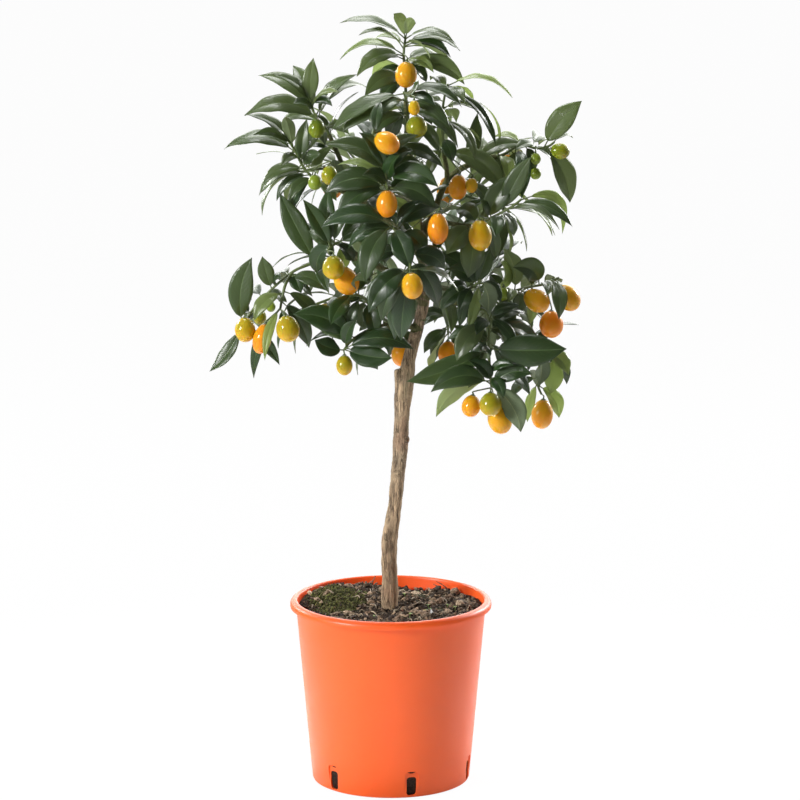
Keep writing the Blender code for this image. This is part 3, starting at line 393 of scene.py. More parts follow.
class Build:
    """Corners, faces and painted values of a mesh that is put together from many shapes."""

    def __init__(self, *names):
        self.points = []
        self.faces = []
        self.values = {name: [] for name in names}

    def add(self, points, faces, **values):
        first = len(self.points)
        self.points += points
        self.faces += [tuple(first + corner for corner in face) for face in faces]
        for name, held in self.values.items():
            value = values.get(name, 0.0)
            held += value if isinstance(value, list) else [value] * len(points)

    def mesh(self, name):
        mesh = bpy.data.meshes.new(name)
        mesh.from_pydata(self.points, [], self.faces)
        for key, held in self.values.items():
            mesh.attributes.new(key, "FLOAT", "POINT").data.foreach_set("value", held)
        mesh.shade_smooth()
        return mesh


def ring_quads(a, b, sides):
    """The faces between two rings of corners whose first corners are a and b."""
    return [(a + s, b + s, b + (s + 1) % sides, a + (s + 1) % sides) for s in range(sides)]


def soil_ring(radius, turned):
    """The x and y of a ring of corners, turned by a share of a step."""
    angles = [math.tau * (step + turned) / SOIL_TURNS for step in range(SOIL_TURNS)]
    return [(radius * math.cos(angle), radius * math.sin(angle)) for angle in angles]


soil = Build("moss", "hollow")
points = [(0.0, 0.0, SOIL_LEVEL)]
for ring in range(1, SOIL_RINGS + 1):
    places = soil_ring(SOIL_RADIUS * ring / SOIL_RINGS, 0.5 * (ring % 2))
    points += [(x, y, soil_height(x, y)) for x, y in places]
faces = [(0, 1 + step, 1 + (step + 1) % SOIL_TURNS) for step in range(SOIL_TURNS)]
for ring in range(SOIL_RINGS - 1):
    first = 1 + ring * SOIL_TURNS
    faces += ring_quads(first, first + SOIL_TURNS, SOIL_TURNS)
last = len(points) - SOIL_TURNS
for height in SOIL_SIDE_RINGS:
    places = soil_ring(wall_radius(height) - WALL - SOIL_GAP, 0.5 * (SOIL_RINGS % 2))
    points += [(x, y, height) for x, y in places]
    faces += ring_quads(last, last + SOIL_TURNS, SOIL_TURNS)
    last += SOIL_TURNS
faces.append(tuple(reversed(range(last, last + SOIL_TURNS))))
# The hollow value is how much painted shade each point gets, most in the gaps among the clods
soil.add(points, faces,
         moss=[mossy(x, y) if z > MOSS_DOWN_TO else 0.0 for x, y, z in points],
         hollow=[share_of((PAINTED_SHADE_BELOW - z) / PAINTED_SHADE_DEPTH) for _, _, z in points])

compost, paint, shader = finish("compost", Specular_IOR_Level=0.2)
moss, hollow = paint.painted("moss"), paint.painted("hollow")
clod = paint.noise(380.0, 5.0, 0.7)
fibre = paint.noise(260.0, 4.0, 0.6, (1.0, 0.25, 1.0)).between(0.62, 0.70)
earth = clod.between(0.34, 0.74).blend((0.012, 0.0078, 0.0054), (0.088, 0.057, 0.038))
earth = (fibre * 0.45).blend(earth, (0.15, 0.105, 0.065))
# Painted shade: the hollow value darkens the gaps among the clods towards near black
earth = (hollow * 0.55).blend(earth, (0.006, 0.004, 0.003))
nap = paint.noise(700.0, 3.0, 0.7).between(0.38, 0.66)
moss_green = nap.blend((0.020, 0.024, 0.008), (0.090, 0.095, 0.028))
coat(paint, shader,
     Base_Color=(moss * 0.8).blend(earth, moss_green),
     Roughness=0.97 - clod * 0.25,
     height=clod + paint.noise(1500.0, 3.0) * 0.5, rise=0.0012)
piece("potting_compost", soil.mesh("potting_compost"), compost, "soil", "soil")


# Litter on the soil: crumbs and flakes of bark, dead twigs and roots, fired-clay lumps, a white
# chip, the tufts of the moss and a few sprouted weeds, all lying half sunk in the surface.

MM = 0.001
LITTER_RADIUS = 0.096
STEM_CLEAR = 0.012
# Smallest size, how much larger the largest is, and the power that makes large ones rare
CRUMBS = 4400
CRUMB_SIZES = (0.0005, 0.0022, 2.5)
FLAKES = 620
FLAKE_SIZES = (0.0010, 0.0036, 2.8)
FLAKE_THICKNESS = (0.14, 0.34)
FLAKE_LEAN = 0.8
LUMP_NARROWER = 0.72
DEAD_TWIGS = 130
TWIG_LENGTHS = (0.007, 0.020)
TWIG_HALF_THICK = (0.0003, 0.0007)
TWIG_SIDES = 6
TUFTS = 6500
TUFT_SIZES = (0.0004, 0.0013)
# Lumps that stand out in the photo: x, y, size, height and tone, from tan 0 to pale 1
LUMPS = (
    (-0.070, 0.030, 0.0052, 0.0056, 0.75), (-0.046, -0.032, 0.0066, 0.0026, 0.95),
    (-0.038, -0.040, 0.0060, 0.0022, 0.80), (0.006, -0.055, 0.0066, 0.0040, 0.45),
    (0.026, -0.025, 0.0068, 0.0052, 0.55), (0.033, -0.034, 0.0060, 0.0046, 0.40),
    (0.054, 0.024, 0.0062, 0.0054, 0.35), (0.045, 0.016, 0.0046, 0.0036, 0.50),
    (0.071, 0.060, 0.0060, 0.0050, 0.65), (0.066, 0.044, 0.0050, 0.0036, 0.30),
    (0.038, -0.041, 0.0058, 0.0034, 0.60), (0.076, 0.002, 0.0050, 0.0032, 0.85),
    (0.062, -0.022, 0.0056, 0.0030, 0.70), (-0.081, 0.013, 0.0040, 0.0036, 0.60),
    (0.028, 0.055, 0.0060, 0.0026, 0.90), (0.016, 0.050, 0.0046, 0.0024, 0.70),
    (-0.025, -0.028, 0.0044, 0.0030, 0.35), (0.014, -0.012, 0.0040, 0.0028, 0.55),
    (-0.010, 0.060, 0.0052, 0.0032, 0.40), (-0.048, 0.072, 0.0050, 0.0034, 0.50),
    (0.084, 0.028, 0.0048, 0.0030, 0.55), (-0.012, -0.074, 0.0056, 0.0030, 0.50),
    (0.030, -0.078, 0.0060, 0.0034, 0.45), (-0.062, -0.058, 0.0052, 0.0028, 0.65),
)
WHITE_CHIP = (0.045, -0.030)
# Dead twigs that stand up out of the soil: x, y of the foot, then x, y of the tip and its
# height over the soil, in mm
STANDING_TWIGS = (
    (-23, 84, -17, 86, 11), (-26, 82, -20, 83, 8), (66, 72, 50, 74, 10), (58, 74, 47, 73, 9),
    (50, -38, 62, -30, 4), (-68, 34, -72, 26, 6),
)
# Sprouted weeds: x and y of each, in mm
SPROUTS = (
    (41, -6), (44, -13), (38, -16), (-33, 48), (16, 44), (28, 60), (58, -34), (62, 8),
    (20, -46), (-18, -44), (-6, 34), (70, -12),
)
# The white chip's corners, from its foot, in mm
CHIP = (
    (-2.4, 0, 0.2), (3.2, 0.4, 0.6), (-1.6, 0.9, 6.8),
    (-2.0, 1.1, 0.4), (2.8, 1.5, 0.8), (-1.4, 1.7, 6.4),
)
SPROUT_TURN = 2.4
SPROUT_LEAF_THICK = 0.00025


def ball(rounds, radius):
    """Corners and faces of a ball."""
    bm = bmesh.new()
    bmesh.ops.create_icosphere(bm, subdivisions=rounds, radius=radius)
    points = [vertex.co.copy() for vertex in bm.verts]
    faces = [tuple(vertex.index for vertex in face.verts) for face in bm.faces]
    bm.free()
    return points, faces


def lump(rng, centre, size, height, roughness, rounds, lean=0.0):
    """A broken pebble or flake: a ball pushed in and out by noise, wider than it is high."""
    corners, faces = ball(rounds, 1.0)
    stray = Vector((rng.uniform(-9, 9), rng.uniform(-9, 9), rng.uniform(-9, 9)))
    turned = Matrix.Rotation(rng.uniform(0, math.tau), 3, "Z")
    for axis in "YX":
        turned = turned @ Matrix.Rotation(rng.uniform(-lean, lean), 3, axis)
    points = []
    for corner in corners:
        swell = 1.0 + roughness * 2.0 * noise.noise(corner * 1.3 + stray)
        sized = Vector((corner.x * size, corner.y * size * LUMP_NARROWER, corner.z * height))
        points.append(centre + turned @ sized * swell)
    return points, faces


def on_soil(x, y, lift=0.0):
    """The place at x, y that lies that far over the soil."""
    return Vector((x, y, soil_height(x, y) + lift))


def litter_size(rng, sizes):
    smallest, more, rarity = sizes
    return smallest + more * rng.random() ** rarity


def strewn(rng):
    """A place on the soil, clear of the stem, taken evenly over the pot's mouth."""
    radius = math.sqrt(rng.uniform(STEM_CLEAR ** 2, LITTER_RADIUS ** 2))
    angle = rng.uniform(0, math.tau)
    return radius * math.cos(angle), radius * math.sin(angle)


def eased(points, radii, steps):
    """A path and its radii with steps places to each run, curved smoothly through the points."""
    places, sizes = [], []
    last = len(points) - 1
    for index in range(last):
        before, after = points[max(0, index - 1)], points[min(last, index + 2)]
        start, end = points[index], points[index + 1]
        leaving, arriving = (end - before) * 0.5, (after - start) * 0.5
        for step in range(steps):
            t = step / steps
            place = start * (2 * t ** 3 - 3 * t ** 2 + 1) + leaving * (t ** 3 - 2 * t ** 2 + t)
            places.append(place + end * (3 * t ** 2 - 2 * t ** 3) + arriving * (t ** 3 - t ** 2))
            sizes.append(radii[index] + (radii[index + 1] - radii[index]) * t)
    return places + [points[-1]], sizes + [radii[-1]]


def round_tube(points, radii, sides):
    """Corners and faces of a closed tube along points, carried along without a twist."""
    corners, faces = [], []
    ahead = (points[1] - points[0]).normalized()
    side = ahead.orthogonal().normalized()
    for index, (place, radius) in enumerate(zip(points, radii)):
        along = (points[min(index + 1, len(points) - 1)] - points[max(index - 1, 0)]).normalized()
        side = (side - along * side.dot(along)).normalized()
        over = along.cross(side)
        for step in range(sides):
            angle = math.tau * step / sides
            corners.append(place + (side * math.cos(angle) + over * math.sin(angle)) * radius)
        if index:
            a, b = (index - 1) * sides, index * sides
            faces += [(a + s, a + (s + 1) % sides, b + (s + 1) % sides, b + s)
                      for s in range(sides)]
    faces.append(tuple(reversed(range(sides))))
    faces.append(tuple(len(corners) - sides + s for s in range(sides)))
    return corners, faces


rng = random.Random(5)
crumbs = Build("tone")
for _ in range(CRUMBS):
    x, y = strewn(rng)
    size = litter_size(rng, CRUMB_SIZES)
    if mossy(x, y) < 0.5:
        crumbs.add(*lump(rng, on_soil(x, y, size * 0.3), size, size * 0.75, 0.45, 1),
                   tone=rng.random() ** 3.5)
crumb_finish, paint, shader = finish("crumb", Specular_IOR_Level=0.2)
tone = paint.painted("tone")
grit = paint.noise(900.0, 3.0, 0.6)
coat(paint, shader,
     Base_Color=(tone * 0.8 + grit * 0.2).blend((0.011, 0.0075, 0.005), (0.31, 0.210, 0.135)),
     Roughness=0.98 - grit * 0.2, height=grit, rise=0.0006)
piece("compost_crumbs", crumbs.mesh("compost_crumbs"), crumb_finish, "soil")

flakes = Build("tone")
for _ in range(FLAKES):
    x, y = strewn(rng)
    size = litter_size(rng, FLAKE_SIZES)
    if mossy(x, y) < 0.7 or rng.random() < 0.15:
        thick = size * rng.uniform(*FLAKE_THICKNESS)
        flakes.add(*lump(rng, on_soil(x, y, 0.0006), size, thick, 0.5, 2, FLAKE_LEAN),
                   tone=rng.random() ** 2.6)
flake_finish, paint, shader = finish("bark_flake", Specular_IOR_Level=0.25)
tone = paint.painted("tone")
grain = paint.noise(650.0, 4.0, 0.65, (1.0, 0.3, 1.0))
pale = tone.blend((0.030, 0.018, 0.012), (0.48, 0.33, 0.210))
dark = tone.blend((0.012, 0.008, 0.006), (0.150, 0.095, 0.055))
coat(paint, shader,
     Base_Color=(grain.between(0.35, 0.7) * 0.6).blend(pale, dark),
     Roughness=0.9 - grain * 0.2, height=grain, rise=0.0005)
piece("bark_flakes", flakes.mesh("bark_flakes"), flake_finish, "soil")

lumps = Build("tone")
for x, y, size, height, tone in LUMPS:
    lumps.add(*lump(rng, on_soil(x, y, height * 0.35), size, height, 0.36, 3), tone=tone)
lump_finish, paint, shader = finish("clay_and_bark", Specular_IOR_Level=0.25)
tone = paint.painted("tone")
grain = paint.noise(520.0, 4.0, 0.65)
tan = tone.blend((0.190, 0.100, 0.062), (0.46, 0.35, 0.235))
brown = tone.blend((0.045, 0.026, 0.018), (0.16, 0.11, 0.07))
coat(paint, shader,
     Base_Color=grain.between(0.36, 0.62).blend(brown, tan),
     Roughness=0.92 - grain * 0.15, height=grain + paint.cells(700.0) * 0.4, rise=0.0009)
piece("clay_and_bark_lumps", lumps.mesh("clay_and_bark_lumps"), lump_finish, "soil")

twigs = Build("tone")
for foot_x, foot_y, tip_x, tip_y, tip_height in STANDING_TWIGS:
    start = on_soil(foot_x * MM, foot_y * MM, -0.002)
    end = on_soil(tip_x * MM, tip_y * MM, tip_height * MM)
    bend = start.lerp(end, 0.5) + Vector((0.0, 0.0, 0.0015))
    path, radii = eased([start, bend, end], [0.0007, 0.0006, 0.0003], 3)
    twigs.add(*round_tube(path, radii, TWIG_SIDES), tone=rng.random() * 0.4)
for _ in range(DEAD_TWIGS):
    x, y = strewn(rng)
    way, length = rng.uniform(0, math.tau), rng.uniform(*TWIG_LENGTHS)
    path = []
    for share in (-0.5, -0.15, 0.2, 0.5):
        turn = way + share * rng.uniform(-0.9, 0.9)
        reach = length * share
        lift = rng.uniform(0.0008, 0.0030)
        path.append(on_soil(x + math.cos(turn) * reach, y + math.sin(turn) * reach, lift))
    clear = all(STEM_CLEAR < math.hypot(place.x, place.y) < LITTER_RADIUS for place in path)
    if clear and (mossy(x, y) < 0.4 or rng.random() < 0.12):
        thick = rng.uniform(*TWIG_HALF_THICK)
        path, radii = eased(path, [thick, thick, thick * 0.8, thick * 0.5], 3)
        twigs.add(*round_tube(path, radii, TWIG_SIDES), tone=rng.random())
twig_finish, paint, shader = finish("dead_twig", Specular_IOR_Level=0.3)
tone = paint.painted("tone")
grain = paint.noise(800.0, 3.0)
coat(paint, shader,
     Base_Color=(tone * 0.85 + grain * 0.2).blend((0.028, 0.018, 0.012), (0.44, 0.35, 0.24)),
     Roughness=0.85 - grain * 0.2, height=grain, rise=0.0003)
piece("dead_twigs", twigs.mesh("dead_twigs"), twig_finish, "soil")

chip = Build()
foot = on_soil(*WHITE_CHIP)
chip.add([foot + Vector(corner) * MM for corner in CHIP],
         [(0, 1, 2), (5, 4, 3), (0, 3, 4, 1), (1, 4, 5, 2), (2, 5, 3, 0)])
chip_mesh = chip.mesh("white_chip")
chip_mesh.shade_flat()
chip_finish, paint, shader = finish("white_chip")
speck = paint.noise(800.0, 3.0)
coat(paint, shader,
     Base_Color=speck.blend((0.62, 0.66, 0.68), (0.86, 0.87, 0.86)), Roughness=0.5 + speck * 0.2)
piece("white_chip", chip_mesh, chip_finish, "soil")

tufts = Build("tone", "brown")
for _ in range(TUFTS):
    x = MOSS_MIDDLE[0] + rng.uniform(-1.3, 1.3) * MOSS_REACH[0]
    y = MOSS_MIDDLE[1] + rng.uniform(-1.3, 1.3) * MOSS_REACH[1]
    size = rng.uniform(*TUFT_SIZES)
    if mossy(x, y) > rng.uniform(0.35, 1.0) and math.hypot(x, y) < LITTER_RADIUS:
        height = size * rng.uniform(0.8, 1.6)
        tufts.add(*lump(rng, on_soil(x, y, size * 0.5), size, height, 0.6, 1),
                  tone=rng.random() ** 1.7, brown=rng.random() ** 3)
moss_finish, paint, shader = finish("moss_tuft", Specular_IOR_Level=0.15)
tone = paint.painted("tone")
nap = paint.noise(1400.0, 3.0, 0.7)
green = tone * 0.75 + nap.between(0.35, 0.75) * 0.25
green = green.blend((0.020, 0.022, 0.009), (0.210, 0.220, 0.062))
coat(paint, shader,
     Base_Color=paint.painted("brown").blend(green, (0.085, 0.062, 0.036)),
     Roughness=0.98 - nap * 0.1, height=nap, rise=0.0009)
piece("moss_tufts", tufts.mesh("moss_tufts"), moss_finish, "soil")

weeds = Build("tone")
for x, y in SPROUTS:
    foot = on_soil(x * MM, y * MM, -0.001)
    head = (rng.uniform(-1.5, 1.5), rng.uniform(-1.5, 1.5), rng.uniform(3.5, 6.0))
    head = foot + Vector(head) * MM
    stalk = [foot, foot.lerp(head, 0.5), head]
    weeds.add(*round_tube(stalk, [0.0004, 0.0003, 0.0003], TWIG_SIDES), tone=0.2)
    turn = rng.uniform(0, math.tau)
    for _ in range(rng.choice((2, 3, 4))):
        turn += SPROUT_TURN
        reach, across = rng.uniform(1.8, 3.2) * MM, rng.uniform(0.7, 1.1) * MM
        ahead = Vector((math.cos(turn), math.sin(turn), 0.35))
        side = Vector((-math.sin(turn), math.cos(turn), 0.0))
        near, far = head + ahead * reach * 0.35, head + ahead * reach * 0.75
        above = [head, near + side * across, far + side * across * 0.8, head + ahead * reach,
                 far - side * across * 0.8, near - side * across]
        below = [place - Vector((0.0, 0.0, SPROUT_LEAF_THICK)) for place in above]
        edge = [(k, k + 6, (k + 1) % 6 + 6, (k + 1) % 6) for k in range(6)]
        weeds.add(above + below, [tuple(range(6)), tuple(reversed(range(6, 12)))] + edge,
                  tone=rng.random())
weed_finish, paint, shader = finish("weed", Specular_IOR_Level=0.35)
tone = paint.painted("tone")
vein = paint.noise(900.0, 2.0)
coat(paint, shader,
     Base_Color=(tone * 0.7 + vein * 0.3).blend((0.075, 0.150, 0.022), (0.25, 0.34, 0.060)),
     Roughness=0.6 - vein * 0.15, height=vein, rise=0.0002)
piece("sprouted_weeds", weeds.mesh("sprouted_weeds"), weed_finish, "soil")


# Trunk: one crooked woody stem of ridged grey-tan bark, with a pruned stub, knots where side
# shoots were cut, and limbs that grow out of it. Its foot stands in the soil.

EYE = Vector((0.010, -4.200, 1.2702))
BARK_VOXEL = 0.0012
BARK_SMOOTHED = 3
# What the smoothing of the grown mesh takes off the wood all round
EASED_OFF = 0.00065
RIDGE_DEPTH = 0.00050
# Ridges, lumps and rings of the bark: how many to a metre across and up, and how strong
BARK_RELIEF = ((340, 55, 0.9), (95, 60, 1.7), (60, 330, 0.6))
# The relief is full from this radius of wood on
FULL_RELIEF_RADIUS = 0.0065
WOOD_SIDES = 14
LIMB_STEPS = 6
STUB_STEPS = 4
# Stem, up through its kink and its pruned top: x, z, y and radius in mm
STEM = (
    (-1.4, 139.5, 0, 8.6), (-1.4, 184, 0, 8.9), (-1.1, 212, 0, 8.4), (-1.6, 250, 0, 8.0),
    (-1.0, 271, 0, 8.7), (3.6, 300, 0, 6.9), (7.2, 333, 0, 7.2), (9.0, 352, 0, 7.4),
    (10.9, 380, 0, 8.0), (11.4, 400, 0, 7.3), (13.6, 428, 0, 9.2), (16.5, 446, 0, 8.4),
    (20.0, 468, 0, 6.7), (25.5, 490, 0, 6.2), (31.0, 510, 0, 5.8), (36.0, 533, -2, 5.2),
    (37.5, 556, -7, 4.9), (34.0, 590, -6, 4.3), (27.5, 630, 0, 3.9), (21.0, 682, 4, 3.3),
    (17.5, 722, 3, 2.7), (16.5, 748, 2, 2.3),
)
STUB = ((11.5, 424, 0, 6.6), (10.2, 448, 0, 5.9), (10.0, 456, 0, 5.6))
KNOTS = (
    (6.6, 341, -5.5, 3.2), (15.5, 379, -3.5, 4.6), (17.5, 429, -3, 5.6), (-4, 271, -4, 5.6),
    (26, 494, -3, 4.4),
)

# Limbs, from where each leaves the stem or another limb to the spur that carries a spray
LIMBS = {
    "left": ((35, 530, -3, 3.6), (8, 556, 12, 3.2), (-35, 578, 8, 2.9), (-78, 573, -6, 2.4)),
    "left_front": ((-30, 576, 8, 2.3), (-44, 588, -22, 2.2), (-53, 592, -46, 2.1)),
    "left_low": ((28, 502, -1, 3.0), (6, 506, -16, 2.7), (-20, 500, -36, 2.4),
                 (-40, 489, -52, 2.1)),
    "left_mid": ((6, 506, -16, 2.2), (-8, 520, -34, 2.1), (-22, 528, -44, 2.0)),
    "upper_left": ((34, 582, -6, 3.4), (2, 614, 22, 3.1), (-40, 645, 18, 2.8), (-72, 659, 4, 2.3)),
    "upper_left_top": ((-40, 645, 18, 2.4), (-54, 685, 15, 2.2), (-66, 712, 7, 2.1)),
    "centre": ((37, 556, -8, 3.2), (30, 582, -48, 2.8), (16, 602, -84, 2.3)),
    "centre_upper": ((27, 634, 0, 2.8), (13, 642, -38, 2.4), (1, 646, -70, 2.1)),
    "upper_front": ((20.5, 690, 4, 2.4), (17, 706, -16, 2.2), (17, 717, -34, 2.1)),
    "right": ((36, 538, -3, 3.4), (56, 534, -7, 3.0), (75, 533, -10, 2.6), (94, 535, -2, 2.2)),
    "right_spur": ((66, 533.5, -9, 2.2), (76, 538, -24, 2.1), (80, 541, -34, 2.0)),
    "right_low": ((60, 534, -8, 2.4), (76, 527, -30, 2.2), (93, 523, -43, 2.0)),
    "right_far": ((84, 534, -6, 2.3), (118, 512, 30, 2.2), (138, 494, 34, 2.1),
                  (150, 484, 31, 2.0)),
    "right_upper": ((33, 592, -6, 3.4), (45, 625, 12, 3.1), (62, 664, 10, 2.8), (88, 681, 8, 2.5),
                    (113, 688, 6, 2.2)),
    "right_upper_front": ((60, 660, 10, 2.3), (60, 674, -8, 2.2), (57, 690, -18, 2.0)),
    "right_middle": ((44, 622, 11, 2.5), (67, 615, -18, 2.3), (86, 613, -38, 2.1)),
    "back_upper_left": ((26.5, 640, 1, 2.8), (8, 650, 36, 2.5), (-14, 660, 68, 2.1)),
    "back_upper_right": ((31, 610, -3, 2.8), (50, 626, 42, 2.5), (66, 634, 70, 2.1)),
    "back_left": ((32, 513, 0, 2.8), (12, 530, 40, 2.5), (-12, 545, 70, 2.1)),
    "back_right": ((37, 550, -6, 2.8), (54, 546, 40, 2.5), (74, 543, 68, 2.1)),
}


def seen(x, z, y):
    """A place read in mm at x, z on the stem's plane, carried along the sight line to depth y."""
    on_plane = Vector((x * MM, 0.0, z * MM))
    return EYE + (on_plane - EYE) * ((y * MM - EYE.y) / (0.0 - EYE.y))


wood = Build()
centres = []
wooden = [(STEM, LIMB_STEPS), (STUB, STUB_STEPS)] + [(limb, LIMB_STEPS) for limb in LIMBS.values()]
for places, steps in wooden:
    points = [seen(*place[:3]) for place in places]
    points, radii = eased(points, [place[3] * MM for place in places], steps)
    wood.add(*round_tube(points, radii, WOOD_SIDES))
    centres += zip(points, radii)
for x, z, y, size in KNOTS:
    points, faces = ball(3, size * MM)
    wood.add([seen(x, z, y) + point for point in points], faces)
blank = loose_object(wood.mesh("wood"))
grow = blank.modifiers.new("grown together", "REMESH")
grow.mode = "VOXEL"
grow.voxel_size = BARK_VOXEL
ease = blank.modifiers.new("eased", "SMOOTH")
ease.iterations = BARK_SMOOTHED
bark_mesh = applied(blank)
bpy.data.objects.remove(blank, do_unlink=True)
near = KDTree(len(centres))
for index, (place, _) in enumerate(centres):
    near.insert(place, index)
near.balance()
girths = []
outward = [vertex.normal.copy() for vertex in bark_mesh.vertices]
for vertex, normal in zip(bark_mesh.vertices, outward):
    place = vertex.co
    girth = centres[near.find(place)[1]][1]
    girths.append(girth)
    relief = 0.0
    for across, up, strength in BARK_RELIEF:
        spot = Vector((place.x * across, place.y * across, place.z * up))
        relief += noise.noise(spot) * strength
    depth = RIDGE_DEPTH * min(1.0, girth / FULL_RELIEF_RADIUS)
    vertex.co = place + normal * (EASED_OFF + depth * relief)
bark_mesh.attributes.new("girth", "FLOAT", "POINT").data.foreach_set("value", girths)
bark_mesh.shade_smooth()

bark, paint, shader = finish("bark", Specular_IOR_Level=0.2)
old = paint.painted("girth").between(0.0026, 0.0056)
patch = paint.noise(48.0, 3.0, 0.6, (1.0, 1.0, 0.5))
furrow = paint.noise(300.0, 5.0, 0.62, (1.0, 1.0, 0.085)) - 0.5
furrow = 1.0 - abs(furrow).between(0.008, 0.070)
hair = paint.noise(760.0, 3.0, 0.6, (1.0, 1.0, 0.08)) - 0.5
hair = 1.0 - abs(hair).between(0.004, 0.050)
cracked = paint.noise(130.0, 3.0, 0.6, (1.0, 1.0, 0.3)).between(0.38, 0.62)
furrow = furrow * (0.40 + cracked * 0.60)
crack = paint.math("MAXIMUM", furrow, hair * (0.25 + cracked * 0.40))
fleck = paint.noise(900.0, 3.0, 0.7, (1.0, 1.0, 0.4))
# Painted light: the bark is painted lighter towards the foot of the stem, just over the soil. The
# algae keep off the foot.
foot = 1.0 - paint.height().between(0.215, 0.300)
tan = (patch - foot * 0.22).between(0.35, 0.68).blend((0.550, 0.395, 0.245), (0.375, 0.285, 0.190))
tan = (fleck.between(0.50, 0.75) * 0.45).blend(tan, (0.68, 0.53, 0.370))
rosy = paint.noise(38.0, 2.0, 0.5, (1.0, 1.0, 0.6)).between(0.54, 0.66)
tan = (rosy * 0.45).blend(tan, (0.300, 0.165, 0.110))
algae = paint.noise(85.0, 3.0, 0.6, (1.0, 1.0, 0.3)).between(0.52, 0.66) * (1.0 - foot)
tan = (algae * 0.40).blend(tan, (0.155, 0.165, 0.085))
tan = (crack * 0.88).blend(tan, (0.062, 0.043, 0.028))
young = fleck.between(0.3, 0.8).blend((0.070, 0.085, 0.030), (0.170, 0.165, 0.070))
coat(paint, shader,
     Base_Color=old.blend(young, tan),
     Roughness=0.92 - fleck * 0.2,
     height=fleck * 0.7 - crack * 1.2, rise=0.0010)
piece("bark_of_stem_and_limbs", bark_mesh, bark, "bark", "trunk")


# Sprays: green twigs with their leaves, each a stiff blade arched along its rib on a short
# stalk, glossy above and dull below, and the fruits' stalks, calyxes and set buds.

STEM_GAP = 0.0003
# The last place on a twig, as a share of it, where anything grows
LAST_ROOT = 0.97
TWIG_RADIUS = (1.9, 1.2)
STALK_RADIUS = 0.9
CALYX_THICK = 1.3
CALYX_SIDES = 20
BLADE_ARCH = 0.21
BLADE_ASPECT = 0.31
BLADE_WIDTHS = (0.013, 0.030)
BLADE_SHEETS_APART = 0.00045
# The leaf's stalk: its share of the leaf, its radius, and its places and sizes along the leaf
LEAF_STALK_SHARE = 0.11
LEAF_STALK_RADIUS = 0.00075
LEAF_STALK = ((0.0, 1.25), (0.5, 1.0), (1.0, 0.9), (1.35, 0.5))
BLADE_STEPS = 18
BLADE_LINES = (-1.0, -0.74, -0.42, -0.11, 0.0, 0.11, 0.42, 0.74, 1.0)
BLADE_FOLDS = (0.10, 0.44)
BLADE_CURL = 0.13
BLADE_TWISTS = (-0.25, 0.25)
BLADE_WAVES = (2.2, 3.6)
BLADE_WAVE_DEPTHS = (0.010, 0.030)
RIB_SUNK = 0.00025
# A spiral of leaves: the turn from leaf to leaf, where on the twig, how far they open from it
# at its foot and at its tip, and how much that strays
SPIRAL_TURN_DEG = 137.5
SPIRAL_SHARES = (0.12, 0.98)
SPIRAL_LEAN_DEG = (62.0, 32.0)
SPIRAL_STRAY_DEG = 8.0
SPIRAL_LENGTHS = (0.060, 0.078)
DROOP = 0.25
# How far aside and up a leaf's tip is tried, in mm, as its solid was
TIP_TRIES = ((0, 0), (7, 0), (-7, 0), (0, 7), (0, -7), (11, 9), (-11, 9), (11, -9), (-11, -9))
TIP_FOUND = 0.00005
